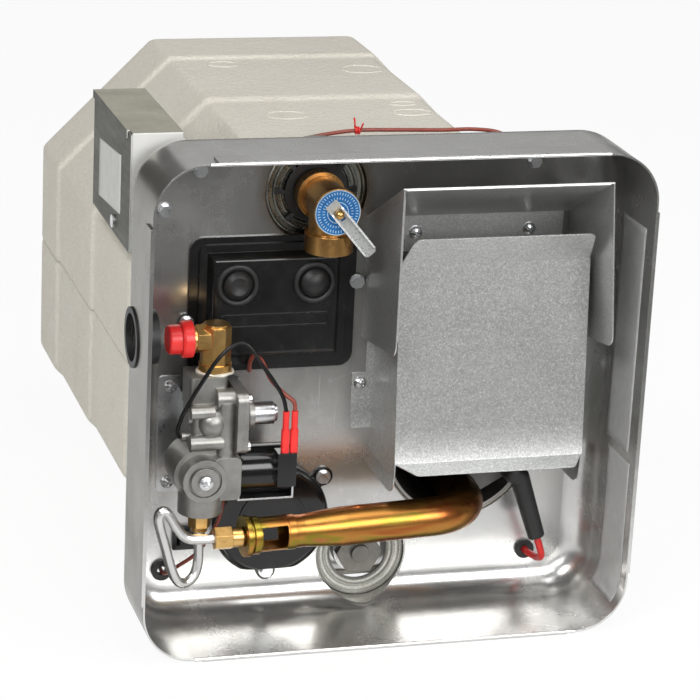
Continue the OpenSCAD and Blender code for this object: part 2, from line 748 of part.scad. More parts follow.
module foam_cuts() {
    rod_y(tank_r + weld_gap, tank_y0, tank_y1 + weld_gap, 0, tank_z);
    rod_y(tp_hole_r + sheet_t + fit_gap, 0, spud_end + fit_gap, tp_x, tp_z);
    rod_y(drain_hole_r + sheet_t + fit_gap, 0, spud_end, drain_x, drain_z);
    rod_y(burn_tube_r + fit_gap, 0, tank_y0 + over, burn_x, burn_z);
    rod_y(flue_leg_r + fit_gap, 0, tank_y0 + over, burn_x, flue_z);
    rod_y(spud_r + 7, 0, tank_y0 + over, elem_x, elem_z);
    along_y(0, tank_y0 + over) translate([cover_x, window_z]) square([window_w, window_h], center = true);
    rod_y(water_spud_r + fit_gap, tank_y1 - over, back_y + over, water_x, hot_z);
    rod_y(water_spud_r + fit_gap, tank_y1 - over, back_y + over, water_x, cold_z);
    along_y(0, 9) translate([rocker_x, rocker_z]) square([2 * rocker_r + 5, rocker_w + 5], center = true);
    block([-foam_size, 0, jbox_z0 - fit_gap], [jbox_x1 + fit_gap, jbox_y1 + fit_gap, foam_size + over]);
}

module foam_jacket_upper() {
    color("gainsboro") wall_frame() difference() {
        foam_block();
        block([-foam_size, -over, -over], [foam_size, unit_depth, foam_split]);
        foam_cuts();
    }
}

module foam_jacket_lower() {
    color("gainsboro") wall_frame() difference() {
        foam_block();
        block([-foam_size, -over, foam_split], [foam_size, unit_depth, foam_size + over]);
        foam_cuts();
    }
}

module tank() {
    color("lightgray") wall_frame() difference() {
        union() {
            turn_y(0, tank_z) tank_outline(tank_r, tank_y0, tank_y1, tank_knuckle_r);
            rod_y(spud_r, tp_spud_y, spud_end, tp_x, tp_z);
            rod_y(spud_r, drain_spud_y, spud_end, drain_x, drain_z);
            rod_y(spud_r + 2, elem_spud_y, spud_end, elem_x, elem_z);
        }
        turn_y(0, tank_z) tank_outline(tank_r - tank_t, tank_y0 + tank_t, tank_y1 - tank_t, tank_knuckle_r - tank_t);
        rod_y(tp_thread_r + fit_gap, 0, spud_end + over, tp_x, tp_z);
        rod_y(drain_thread_r + fit_gap, 0, spud_end + over, drain_x, drain_z);
        rod_y(elem_thread_r + fit_gap, 0, spud_end + over, elem_x, elem_z);
        rod_y(burn_tube_r + weld_gap, 0, tank_y0 + tank_t + over, burn_x, burn_z);
        rod_y(flue_leg_r + weld_gap, 0, tank_y0 + tank_t + over, burn_x, flue_z);
        rod_y(water_spud_r + weld_gap, tank_y1 - tank_t - over, tank_y1 + over, water_x, hot_z);
        rod_y(water_spud_r + weld_gap, tank_y1 - tank_t - over, tank_y1 + over, water_x, cold_z);
    }
}

module flue_path(t, e) {
    rod_y(burn_tube_r - t, sheet_t - e, sheet_t + burn_len, burn_x, burn_z);
    translate([burn_x, sheet_t + burn_len, burn_z]) rotate([-90, 0, 0])
        cylinder(r1 = burn_tube_r - t, r2 = flue_leg_r - t, h = burn_cone);
    translate([burn_x, flue_bend_y, burn_z + flue_bend_r]) rotate([0, -90, 0]) rotate([0, 0, 0])
        rotate_extrude(angle = 180) translate([flue_bend_r, 0]) circle(flue_leg_r - t);
    rod_y(flue_leg_r - t, sheet_t - e, flue_bend_y, burn_x, flue_z);
}

module flue_tube() {
    color("dimgray") wall_frame() difference() {
        flue_path(0, 0);
        flue_path(flue_t, over);
    }
}

module water_spud(z) {
    wall_frame() difference() {
        rod_y(water_spud_r, tank_y1 - tank_t, back_y, water_x, z);
        rod_y(water_bore_r, tank_y1 - tank_t - over, back_y + over, water_x, z);
    }
}

module hot_outlet() {
    color("firebrick") water_spud(hot_z);
}

module cold_inlet() {
    color("steelblue") water_spud(cold_z);
}

module push_ring(x, z, r0, r1) {
    difference() {
        turn_y(x, z) {
            band(r0, r1, seal_y, seal_y + seal_t);
            band(r1 - 3, r1, seal_y - seal_t, seal_y + seal_t);
        }
        for (a = [0:36:324]) translate([x, seal_y - over, z]) rotate([0, a, 0])
            translate([r0 + 1.5, 0, -1.2]) cube([5, seal_t + 2 * over, 2.4]);
    }
}

module tp_seal() {
    color("gray") wall_frame() push_ring(tp_x, tp_z, spud_r + fit_gap, tp_hole_r - fit_gap);
}

module drain_seal() {
    color("whitesmoke") wall_frame() push_ring(drain_x, drain_z, spud_r + 3, drain_hole_r - fit_gap);
}

module tp_gasket() {
    color("black") wall_frame() turn_y(tp_x, tp_z)
        band(tp_thread_r + fit_gap, spud_r + 2, tp_spud_y - gasket_t, tp_spud_y);
}

module tp_valve_body() {
    color("peru") wall_frame() difference() {
        union() {
            turn_y(tp_x, tp_z) {
                band(0, tp_thread_r, -over, tank_y0 + tank_t);
                band(0, tp_collar_r, -11, -2);
                band(0, tp_barrel_r, -tp_front, over);
                band(0, tp_bonnet_r, -tp_front, tp_bonnet_d - tp_front);
            }
            rod_z(tp_barrel_r, tp_z - tp_out_len + 8, tp_z, tp_x, -tp_out_y);
            rod_z(tp_out_r, tp_z - tp_out_len, tp_z - tp_out_len + 12, tp_x, -tp_out_y);
        }
        rod_z(tp_bore_r, tp_z - tp_out_len - over, tp_z - tp_out_len + tp_bore_d, tp_x, -tp_out_y);
        rod_z(tp_bore_r - 5, tp_z - tp_out_len, tp_z, tp_x, -tp_out_y);
        rod_y(stem_r + run_gap, -tp_front - over, -tp_front + 14, tp_x, tp_z);
        rod_y(tp_thread_r - 3, -tp_out_y, tank_y0 + tank_t + over, tp_x, tp_z);
    }
}

module tp_valve_tag() {
    color("royalblue") wall_frame() turn_y(tp_x, tp_z) {
        band(stem_r + 4 * fit_gap, tag_r, tag_y, -tp_front);
    }
}

module tp_valve_stem() {
    color("gold") wall_frame() {
        rod_y(stem_r, ball_y, -tp_front + 8, tp_x, tp_z);
        translate([tp_x, ball_y, tp_z]) sphere(ball_r);
    }
}

module tp_lever() {
    y1 = -lever_gap;
    y0 = y1 - lever_t;
    w = lever_w / 2;
    tip = eased([[0, -w], [lever_len, -w], [lever_len, w], [0, w]], [1, 2.6, 2.6, 1], 5);
    rail = eased([[3, y1], [lever_len - 2.6, y1], [lever_len - 2.6, y1 - lever_flange], [6, y1 - lever_flange]],
        [0, 0, 1.5, 1.5], 4);
    color("wheat") wall_frame() translate([heel[0], tag_y, heel[1]]) rotate([0, lever_tilt, 0]) difference() {
        union() {
            along_y(y0, y1) polygon(tip);
            for (s = [-1, 1]) translate([0, 0, s * (w - lever_t / 2) - lever_t / 2])
                linear_extrude(lever_t) polygon(rail);
        }
        block([lever_heel - 2.1, y0 - over, -lever_slot / 2], [lever_heel + 5.6, y1 + over, lever_slot / 2]);
    }
}

module cover_box(w, h, d, f) {
    intersection() {
        translate([cover_x, 0, cover_z - h]) linear_extrude(2 * h)
            polygon(eased([[-w / 2, f], [-w / 2 + box_draft, -d], [w / 2 - box_draft, -d], [w / 2, f]],
                [0, box_round, box_round, 0], 5));
        translate([0, 0, cover_z]) along_x(cover_x - w, cover_x + w)
            polygon(eased([[f, -h / 2], [-d, -h / 2 + box_draft], [-d, h / 2 - box_draft], [f, h / 2]],
                [0, box_round, box_round, 0], 5));
    }
}

module reset_cover() {
    color("black") wall_frame() difference() {
        union() {
            difference() {
                union() {
                    along_y(-cover_t, 0) translate([cover_x, cover_z]) rounded(cover_w, cover_h, cover_r);
                    cover_box(box_w, box_h, box_d, 0);
                    along_y(-cover_t - plinth_d, 0) translate([cover_x, cover_z])
                        rounded(box_w + plinth_w, box_h + plinth_w, cover_r - 3);
                    along_y(cover_face - 0.6, cover_face + over) translate([cover_x, cover_z - 9]) difference() {
                        rounded(frame_w, frame_h, 2);
                        rounded(frame_w - 2 * frame_line, frame_h - 2 * frame_line, 1);
                    }
                }
                cover_box(box_w - 2 * cover_t, box_h - 2 * cover_t, box_d - cover_t, over);
            }
            for (x = [button_left_x, button_right_x])
                rod_y(button_r + 1.8, cover_face + over, guide_back, x, button_z);
        }
        for (x = [button_left_x, button_right_x])
            rod_y(button_r + run_gap, cover_face - over, guide_back + over, x, button_z);
        for (p = clip_screws_at) rod_y(screw_hole_r, -cover_t - over, over, p[0], p[1]);
    }
}

module button_rims() {
    color("black") wall_frame() for (x = [button_left_x, button_right_x]) turn_y(x, button_z) difference() {
        translate([rim_r, cover_face]) circle(rim_t / 2);
        band(0, 2 * rim_r, cover_face, cover_face + rim_t);
        band(0, button_r + run_gap, cover_face - rim_t, cover_face + rim_t);
    }
}

module reset_button(x, dent) {
    wall_frame() difference() {
        union() {
            turn_y(x, button_z) {
                band(0, button_flange_r, button_back - button_flange_t, button_back);
                band(0, button_r, cover_face - 2, button_back);
            }
            intersection() {
                translate([x, cover_face + 6, button_z]) sphere(button_r + 3);
                rod_y(button_r, cover_face - 9, cover_face, x, button_z);
            }
        }
        if (dent) translate([x, cover_face - 14, button_z]) sphere(button_r + 2);
    }
}

module reset_button_left() {
    color("black") reset_button(button_left_x, true);
}

module reset_button_right() {
    color("black") reset_button(button_right_x, false);
}

module disc_switch(x) {
    wall_frame() turn_y(x, button_z) {
        band(0, 12.5, tank_y0 - 9, tank_y0);
        band(0, 8, pin_y + 4, tank_y0);
        band(0, 2.5, pin_y, tank_y0);
    }
}

module thermostat() {
    color("black") disc_switch(button_left_x);
}

module limit_switch() {
    color("saddlebrown") disc_switch(button_right_x);
}

module flue_hood() {
    t = flue_sheet;
    side_panel = eased([[0, hood_back_z], [-hood_y, hood_front_z], [-hood_y, hood_low_front], [0, hood_low_back]],
        [0, 0, 9, 0], 6);
    color("lightgray") wall_frame() difference() {
        union() {
            panel([-hood_y, hood_front_z - t / 2], [0, hood_back_z - t / 2], t) translate([hood_x0, 0])
                square([hood_x1 - hood_x0, norm([hood_y, hood_front_z - hood_back_z])]);
            along_x(hood_x0 + t / 4, hood_x0 + 1.25 * t) polygon(side_panel);
            translate([hood_x1 - t / 2, 0, hood_back_z])
                rotate(a = hood_flare, v = [0, -hood_y, hood_front_z - hood_back_z])
                translate([0, 0, -hood_back_z]) along_x(-t / 2, t / 2) polygon(side_panel);
            block([flue_x0 + 3, -t, hood_back_z - 24], [flue_x1 - 3, 0, hood_back_z]);
            block([hood_x0 + t, -hood_y + 0.3, hood_low_front + 10], [hood_x0 + 2 * t, -hood_y + 7, hood_front_z - 6]);
            panel([-hood_y, hood_front_z - 1.5 * t], [0, hood_back_z - 1.5 * t], t) translate([hood_x0 + 2 * t, 0])
                square([hood_x1 - hood_x0 - 5 * t, 7]);
        }
        for (p = hood_screws_at) rod_y(screw_hole_r, -over - t, over, p[0], p[1]);
        block([hood_x0 - 9, 0, 0], [hood_x1 + 9, 9, pan_h]);
    }
}

module flue_box() {
    t = flue_sheet;
    w = flue_x1 - flue_x0;
    low = [-fold_low_y, fold_low_z];
    high = [-fold_high_y, fold_high_z];
    lip = low + [-lip_w * cos(lip_fall), -lip_w * sin(lip_fall)];
    crest = high + [-crest_w * cos(crest_rise), crest_w * sin(crest_rise)];
    wall = eased([[0, flue_low_z], [-fold_low_y + 2, flue_low_z], low, high, [0, fold_high_z]],
        [0, 12, 0, 0, 0], 6);
    color("gainsboro") wall_frame() difference() {
        union() {
            panel(low, high, t) translate([flue_x0, 0]) square([w, norm(high - low)]);
            panel(low, lip, t) translate([flue_x0, 0])
                polygon(eased([[t / 2, -t / 3], [w - t / 2, -t / 3], [w - 8, lip_w], [lip_w, lip_w]], [0, 0, 4, 6], 5));
            panel(high, crest, t) translate([flue_x0, 0])
                polygon(eased([[t / 2, -t / 3], [w - t / 2, -t / 3], [w - 4, crest_w], [4, crest_w]], [0, 0, 5, 5], 5));
            along_x(flue_x0 + t / 4, flue_x0 + 1.25 * t) polygon(wall);
            along_x(flue_x1 - 1.25 * t, flue_x1 - t / 4) polygon(wall);
            block([flue_x0 - 14, -t, 122], [flue_x0 + t, 0, 160]);
            block([flue_x0 - 5, -t, 122], [flue_x0 + t, 0, 181]);
            block([flue_x1 - t, -t, 122], [flue_x1 + 9, 0, 160]);
            block([flue_x1 - t, -t, 122], [flue_x1 + 4, 0, 181]);
        }
        for (p = tab_screws_at) rod_y(screw_hole_r, -over - t, over, p[0], p[1]);
    }
}

// flange between the valve body and its diaphragm, drawn in (y, z)
module dia_outline() {
    translate([dia_y, dia_z]) rounded(dia_w, dia_h, dia_corner);
}

module gas_valve_body() {
    color("silver") wall_frame() difference() {
        union() {
            translate([(body_x0 + body_x1) / 2, (body_y0 + body_y1) / 2, body_z0])
                linear_extrude(body_z1 - body_z0) rounded(body_w, body_d, 5);
            translate([valve_x - 6, -valve_y, body_z1 - 4]) linear_extrude(neck_z - body_z1 + 4) rounded(24, 24, 3);
            along_x(body_x1 - 4, body_x1) dia_outline();
            rod_x(6.5, valve_x - 2, body_x1 - 1, body_y0 + 3, body_z1 + 4);
            rod_z(5.5, body_z0 + 28, body_z1 + 3, body_x1 - 9, body_y0);
            translate([body_x1 - 9, body_y0, body_z0 + 28]) sphere(5.5);
            rod_y(boss_r + 3, -boss_y + 12, body_y1 - 4, boss_x, boss_z);
            rod_y(boss_r, -boss_y, body_y1 - 4, boss_x, boss_z);
            along_y(-boss_y + 5, body_y0 + over) translate([body_x1 - 9, boss_z - 1]) rounded(18, 28, 4);
            translate([boss_x + 7, body_y0 + 3.5, 149]) sphere(10);
            rod_x(5, body_x0 - 2, valve_x, body_y0 + 8, 151);
            rod_x(4.2, body_x0 - 2, valve_x - 4, body_y0 - 1, 157);
            rod_x(5, body_x0 - 2, valve_x + 2, body_y0 - 1, 137);
            rod_x(3.2, body_x0 - 5, valve_x, body_y0 + 10, 138);
            rod_z(outlet_r, outlet_z, body_z0 + 6, outlet_x, -outlet_y);
            block([body_x1 - 8, body_y0 - 2, 102], [body_x1, body_y1, 127]);
        }
        rod_y(plug_r + 1.6, -boss_y - over, -boss_y + 2, boss_x, boss_z);
        rod_z(elbow_r - 3 + fit_gap, neck_z - 10, neck_z + over, valve_x, -valve_y);
    }
}

module diaphragm_cover() {
    x = body_x1 + dia_plate;
    r = (dia_dome_r * dia_dome_r + dia_dome * dia_dome) / (2 * dia_dome);
    color("silver") wall_frame() difference() {
        union() {
            along_x(body_x1, x) dia_outline();
            turn_x(dia_y, dia_z) intersection() {
                translate([0, x + dia_dome - r]) circle(r);
                translate([0, body_x1 + over]) square([dia_dome_r, 2 * dia_dome]);
            }
            rod_x(9, body_x1 + over, body_x1 + dia_boss, dia_y - 3, dia_z + 1);
        }
        for (p = dia_screws_at) rod_x(screw_r, body_x1 - over, x + over, p[0], p[1]);
    }
}

module valve_screws() {
    x = body_x1 + dia_plate;
    color("lightgray") wall_frame() for (p = dia_screws_at) difference() {
        union() {
            rod_x(screw_r - fit_gap, body_x1 + slab, x + over, p[0], p[1]);
            rod_x(head_r - 1, x, x + 2, p[0], p[1]);
        }
        block([x + 1.2, p[0] - head_r, p[1] - 0.5], [x + 3, p[0] + head_r, p[1] + 0.5]);
    }
}

module regulator_tower() {
    color("gray") wall_frame() turn_x(dia_y - 3, dia_z + 1) {
        translate([0, body_x1 + dia_boss]) square([7.2, 13]);
        translate([0, body_x1 + dia_boss]) square([5.6, 15]);
    }
}

module solenoid_coil() {
    color("dimgray") wall_frame() {
        rod_x(coil_r, coil_x0, coil_x1, coil_y, coil_z);
        block([coil_x1 - 12, coil_y - coil_r - 6, 108], [coil_x1, coil_y - coil_r + 5, term_z]);
    }
}

module coil_frame() {
    z0 = coil_z - coil_r - frame_t - fit_gap;
    color("gainsboro") wall_frame() {
        block([body_x1, coil_y - 12, z0], [coil_x0, coil_y + 12, coil_z + 11]);
        block([coil_x1, coil_y - 12, z0], [coil_x1 + frame_t, coil_y + 12, coil_z + 11]);
        block([body_x1, coil_y - 12, z0], [coil_x1 + frame_t, coil_y + 12, z0 + frame_t]);
        rod_x(4, coil_x1, coil_x1 + 3, coil_y, coil_z);
    }
}

module valve_plug() {
    color("silver") wall_frame() difference() {
        turn_y(boss_x, boss_z) {
            band(0, plug_r, -boss_y - 1, -boss_y + 2);
            band(0, 3.4, -boss_y - 2.6, -boss_y + 2);
        }
        translate([boss_x, -boss_y - 2.6, boss_z]) rotate([0, 35, 0]) cube([5, 2.4, 1.2], center = true);
    }
}

module valve_bracket() {
    t = bracket_t;
    color("silver") wall_frame() difference() {
        union() {
            block([body_x0 + 2, body_y1, body_z0 + 4], [body_x1 - 2, body_y1 + t, body_z1 - 4]);
            block([body_x0 + 2, body_y1, body_z0 + 4], [body_x0 + 2 + t, 0, body_z1 - 4]);
            along_y(-t, 0) polygon(eased([[body_x0 - 11, 86], [body_x0 + 2 + t, 86], [body_x0 + 2 + t, 164], [body_x0 - 11, 164]],
                [3, 0, 0, 3], 4));
        }
        for (p = bracket_screws_at) rod_y(screw_hole_r, -t - over, over, p[0], p[1]);
    }
}

module inlet_elbow() {
    color("goldenrod") wall_frame() {
        rod_z(elbow_r - 3, neck_z - 9, neck_z + 2, valve_x, -valve_y);
        rod_z(elbow_r + 0.6, neck_z, neck_z + 6, valve_x, -valve_y);
        translate([valve_x, -valve_y, neck_z]) rotate([0, 0, 22.5]) cylinder(r = elbow_r, h = elbow_z + 8 - neck_z, $fn = 8);
        rod_z(elbow_r - 2, neck_z, elbow_z + 9.5, valve_x, -valve_y);
        translate([valve_x - 13, -valve_y, elbow_z]) rotate([0, 90, 0]) hex(16, 13);
        rod_x(flare_r, valve_x - 25, valve_x, -valve_y, elbow_z);
    }
}

module shipping_cap() {
    x0 = valve_x - 31;
    color("red") wall_frame() turn_x(-valve_y, elbow_z) difference() {
        union() {
            translate([0, x0]) square([flare_r - 0.4, 3]);
            translate([0, x0 + 2]) square([flare_r + 1.6, 8]);
            translate([flare_r - 0.4, x0 + 2]) circle(2);
            polygon([[0, x0 + 8.5], [flare_r + 3.2, x0 + 8.5], [flare_r + 4, x0 + 10], [flare_r + 4, x0 + 15.5],
                [0, x0 + 15.5]]);
        }
        translate([-over, x0 + 5]) square([flare_r + fit_gap + over, 20]);
    }
}

module outlet_fitting() {
    color("goldenrod") wall_frame() difference() {
        union() {
            translate([outlet_x, -outlet_y, outlet_z - 10]) hex(12.6, 10);
            rod_z(5.2, outlet_z - 13, outlet_z, outlet_x, -outlet_y);
        }
        rod_z(pipe_bore, outlet_z - 14, outlet_z - 3, outlet_x, -outlet_y);
    }
}

module supply_tube() {
    color("lightsteelblue") wall_frame() cord(supply_route, pipe_r, 3, 12);
}

module orifice_holder() {
    color("goldenrod") wall_frame() difference() {
        union() {
            translate([burner_x - 18.5, -61, burner_z]) rotate([0, 90, 0]) hex(13, 11);
            rod_x(6.2, burner_x - 8, burner_x - 0.7, -61, burner_z);
            rod_x(3.2, burner_x - 8, burner_x + 6, -61, burner_z);
        }
        rod_x(pipe_bore, burner_x - 19.5, burner_x - 11.5, -61, burner_z);
    }
}

module burner_section(t, e) {
    turn_x(0, 0) polygon([[0, cage_x - e], [mouth_r - t, cage_x - e], [throat_r - t, throat_x], [burner_r - t, neck_x],
        [burner_r - t, burner_len + slab], [0, burner_len + slab]]);
    translate([burner_len, burner_bend, 0]) rotate([0, 0, -90]) rotate_extrude(angle = 90)
        translate([burner_bend, 0]) circle(burner_r - t);
    rod_y(burner_r - t, burner_bend, burner_bend + burner_tail + e, burner_len + burner_bend, 0);
}

// pleat left along the top and bottom of the burner where its mouth is drawn in
module burner_crease() {
    for (x = [crease_x0, crease_x1], s = [-1, 1])
        rod([x, 0, s * crease_z], [(crease_x0 + crease_x1) / 2, 0, s * (crease_z + crease_swell / 2)], crease_r, crease_r + crease_swell);
}

module burner_tube() {
    color("darkgoldenrod") wall_frame() translate([burner_x, -burner_y, burner_z]) rotate([0, 0, burner_turn])
        difference() {
            union() {
                rod_x(13, 0, 3, 0, 0);
                rod_x(10.5, 0, 9, 0, 0);
                rod_x(12, 5, 9, 0, 0);
                rod_x(mouth_r + 0.3, 8, cage_x + over, 0, 0);
                burner_section(0, 0);
                burner_crease();
                rod_x(mouth_r + 0.6, cage_x - 2, cage_x + 3, 0, 0);
            }
            burner_section(burner_t, over);
            rod_x(mouth_r - burner_t, 10, cage_x, 0, 0);
            rod_x(4.6, -over, 12, 0, 0);
            block([10, -20, -7.5], [27, 20, 7.5]);
        }
}

module element_cover() {
    r = elem_cover_r;
    color("black") wall_frame() difference() {
        union() {
            difference() {
                turn_y(elem_x, elem_z) {
                    band(0, r, -elem_cover_d + 5, 0);
                    band(0, r - 5, -elem_cover_d, 0);
                    translate([r - 5, -elem_cover_d + 5]) circle(5);
                }
                block([elem_x - 2 * r, -2 * r, elem_z - 2 * r], [elem_x + 2 * r, r, elem_flat_z]);
            }
            turn_y(elem_x, elem_z) band(20, 22.4, -elem_cover_d - 0.8, -elem_cover_d + 1);
            for (p = elem_ears) translate([elem_x, 0, elem_z]) along_y(-cover_t, 0) {
                rotate(atan2(p[1], p[0])) translate([0, -5.5]) square([norm(p), 11]);
                translate(p) circle(6.4);
            }
        }
        difference() {
            rod_y(r - cover_t, -elem_cover_d + cover_t, over, elem_x, elem_z);
            block([elem_x - 2 * r, -2 * r, elem_z - 2 * r], [elem_x + 2 * r, r, elem_flat_z + cover_t]);
        }
        for (p = elem_ears) rod_y(screw_hole_r, -cover_t - over, over, elem_x + p[0], elem_z + p[1]);
    }
}

module heating_element() {
    color("gray") wall_frame() {
        translate([elem_x, elem_spud_y, elem_z]) rotate([90, 0, 0]) hex(36, 5);
        rod_y(elem_thread_r, elem_spud_y - over, spud_end, elem_x, elem_z);
        rod_y(8, elem_spud_y - 9, elem_spud_y, elem_x, elem_z);
        for (s = [-1, 1]) rod_y(sheath_r, spud_end - over, tank_y1 - 60, elem_x + 8 * s, elem_z);
        translate([elem_x, tank_y1 - 60, elem_z]) rotate_extrude(angle = 180) translate([8, 0]) circle(sheath_r);
    }
}

module drain_plug() {
    color("dimgray") wall_frame() {
        translate([drain_x, drain_spud_y, drain_z]) rotate([90, 0, 0]) hex(drain_hex, 7);
        rod_y(6, drain_spud_y - 10, drain_spud_y, drain_x, drain_z);
        rod_y(drain_thread_r, drain_spud_y - over, spud_end, drain_x, drain_z);
        rod_y(anode_r, spud_end - over, tank_y1 - 50, drain_x, drain_z);
    }
}

module igniter_electrode() {
    color("white") wall_frame() {
        rod_y(ceramic_r, -26, 34, igniter_x, igniter_z);
        rod_y(1.1, 30, 50, igniter_x, igniter_z);
        rod_x(0.9, igniter_x - 18, igniter_x, 48.6, igniter_z);
    }
}

module igniter_bracket() {
    color("darkgoldenrod") wall_frame() difference() {
        union() {
            rod_y(8, -9, -7.5, igniter_x, igniter_z);
            along_y(-9, -7.5) polygon([[igniter_x - 3, igniter_z + 7], [igniter_x + 5, igniter_z - 6],
                [burner_end_x + 9, burner_z - 3], [burner_end_x + 2, burner_z + 9]]);
        }
        rod_y(ceramic_r + fit_gap, -12, -4, igniter_x, igniter_z);
        rod_y(burner_r + 2 * fit_gap, -12, -4, burner_end_x, burner_z);
    }
}

module igniter_boot() {
    color("black") wall_frame() difference() {
        union() {
            rod(boot_low, boot_top, boot_r - 1, boot_r);
            translate(boot_top) sphere(boot_r);
            rod_y(boot_r, -27, -14, igniter_x, igniter_z);
            rod(boot_top, [igniter_x, -27, igniter_z], boot_r, boot_r);
            translate([igniter_x, -27, igniter_z]) sphere(boot_r);
        }
        rod_y(ceramic_r + fit_gap, -26, -13, igniter_x, igniter_z);
    }
}

module ignition_lead() {
    color("firebrick") wall_frame() cord(lead_route, lead_r, 4, 10);
}

module grommet(at, r) {
    g = grommet_t;
    difference() {
        turn_y(at[0], at[1]) {
            band(0, r + 2 * g + 1, -2.5, 0);
            band(0, r + g, -over, sheet_t + over);
            band(0, r + 2 * g, sheet_t, sheet_t + 1.6);
        }
        rod_y(r + fit_gap, -4, sheet_t + 4, at[0], at[1]);
    }
}

module ignition_grommet() {
    color("black") wall_frame() grommet(hv_at, lead_r);
}

module wire_grommet() {
    color("black") wall_frame() grommet(lv_at, wire_r + grommet_t);
}

module gas_line_grommet() {
    x = -pan_in_w / 2;
    f = pan_fillet_r - sheet_t;
    color("black") wall_frame() translate([0, -gas_y, gas_z]) difference() {
        union() {
            difference() {
                turn_x(0, 0) {
                    translate([0, x + sheet_t]) square([gas_r, 9]);
                    translate([0, x + sheet_t]) square([gas_r - 2, 13]);
                }
                difference() {
                    block([x, gas_y - f, -pan_h], [x + sheet_t + f, gas_y + over, pan_h]);
                    rod_z(f - fit_gap, -pan_h, pan_h, x + sheet_t + f, gas_y - f);
                }
            }
            turn_x(0, 0) translate([0, -pan_w / 2]) square([gas_hole_r + 1, 2 * sheet_t + over]);
            turn_x(0, 0) translate([0, -pan_w / 2]) square([gas_r, sheet_t]);
        }
        rod_x(gas_hole_r, -pan_w, x + sheet_t + 8, 0, 0);
        rod_x(gas_hole_r - 3, -pan_w, x + 40, 0, 0);
    }
}

module switch_body() {
    w = 2 * rocker_r + 0.6;
    h = rocker_w + 0.4;
    color("black") wall_frame() translate([rocker_x, 0, rocker_z]) difference() {
        union() {
            along_y(-2.2, 0) rounded(w + 6.4, h + 6.4, 1.5);
            along_y(-over, 8) square([w + 3, h + 3], center = true);
        }
        along_y(-4, 7) square([w, h], center = true);
        rod_z(1.2 + run_gap, -h / 2 - 1.1, h / 2 + 1.1, 0, 0);
    }
}

module switch_rocker() {
    r = rocker_r;
    color("darkred") wall_frame() translate([rocker_x, 0, rocker_z]) rotate([0, 0, rocker_tilt]) {
        translate([0, 0, -rocker_w / 2]) linear_extrude(rocker_w) intersection() {
            circle(r);
            polygon([[-r - 1, -3.8], [0, -2.8], [r + 1, -3.8], [r + 1, 3], [-r - 1, 3]]);
        }
        rod_z(1.2, -rocker_w / 2 - 1, rocker_w / 2 + 1, 0, 0);
    }
}

module junction_box() {
    t = jbox_t;
    color("silver") wall_frame() difference() {
        union() {
            block([jbox_x0, jbox_y0, jbox_z1 - t], [jbox_x1, jbox_y1, jbox_z1]);
            block([jbox_x1 - t, jbox_y0, jbox_z0], [jbox_x1, jbox_y1, jbox_z1]);
            block([jbox_x0, jbox_y0, jbox_z0], [jbox_x1, jbox_y1, jbox_z0 + t]);
            block([jbox_x0, jbox_y1 - t, jbox_z0], [jbox_x1, jbox_y1, jbox_z1]);
            block([jbox_x0, jbox_y0, jbox_z0], [jbox_x1, jbox_y0 + t, jbox_z1]);
            block([jbox_x0 - 2 * t - fit_gap, jbox_y0 + 8, jbox_z1 - t], [jbox_x0 + t, jbox_y1, jbox_z1]);
            block([jbox_x0 - 2 * t - fit_gap, jbox_y0 + 8, jbox_z1 - 5], [jbox_x0 - t - fit_gap, jbox_y1, jbox_z1]);
        }
        rod_x(5, jbox_x1 - 2 * t, jbox_x1 + over, jbox_hole[0], jbox_hole[1]);
    }
}

module junction_box_cover() {
    t = jbox_t;
    color("silver") wall_frame() difference() {
        union() {
            block([jbox_x0 - t, jbox_y0, jbox_z0], [jbox_x0, jbox_y1, jbox_z1 - t - fit_gap]);
            block([jbox_x0 - t, jbox_y0, jbox_z0 - t], [jbox_x0 + 7, jbox_y1, jbox_z0]);
        }
        rod_x(screw_hole_r, jbox_x0 - 2 * t, jbox_x0 + over, 45, jbox_z0 + 7);
    }
}

module junction_box_grommet() {
    color("black") wall_frame() difference() {
        turn_x(jbox_hole[0], jbox_hole[1]) {
            translate([0, jbox_x1]) square([7.5, 3]);
            translate([0, jbox_x1 - jbox_t - 1]) square([4.8, 3]);
            translate([0, jbox_x1 - jbox_t - 2]) square([6.5, 2]);
        }
        rod_x(wire_r + fit_gap, jbox_x1 - 9, jbox_x1 + 9, jbox_hole[0], jbox_hole[1]);
    }
}

module junction_box_screws() {
    color("gray") wall_frame() {
        rod_x(screw_r, jbox_x0 - jbox_t - over, jbox_x0 + 6, 45, jbox_z0 + 7);
        rod_x(head_r, jbox_x0 - jbox_t - 2, jbox_x0 - jbox_t, 45, jbox_z0 + 7);
        for (y = [26, 56]) {
            rod_x(2, jbox_x1, jbox_x1 + 6, y, jbox_z1 - 12);
            translate([jbox_x1, y, jbox_z1 - 12]) rotate([0, 90, 0]) hex(hex_af, 2.4);
        }
    }
}

module valve_wire_black() {
    color("black") wall_frame() cord(black_route, wire_r, 3, 8);
}

module valve_wire_brown() {
    color("saddlebrown") wall_frame() cord(brown_route, wire_r, 3, 8);
}

module crimp_connectors() {
    color("red") wall_frame() for (x = crimp_x) {
        translate([x, -56.5, term_z]) linear_extrude(15) rounded(5, 4.4, 1.6);
        rod_z(2, term_z + 14, 157, x, -56.5);
    }
}

module switch_wire() {
    color("saddlebrown") wall_frame() cord(switch_route, wire_r, 3, 8);
}

module top_wire() {
    color("saddlebrown") wall_frame() cord(top_route, wire_r, 3, 8);
}

module round_screw(p, seat) {
    difference() {
        union() {
            rod_y(screw_r, seat - over, sheet_t - slab, p[0], p[1]);
            intersection() {
                translate([p[0], seat + 2, p[1]]) sphere(5);
                rod_y(head_r, seat - head_h, seat, p[0], p[1]);
            }
        }
        for (a = [30, 120]) translate([p[0], seat - head_h, p[1]]) rotate([0, a, 0]) cube([5, 3, 1.1], center = true);
    }
}

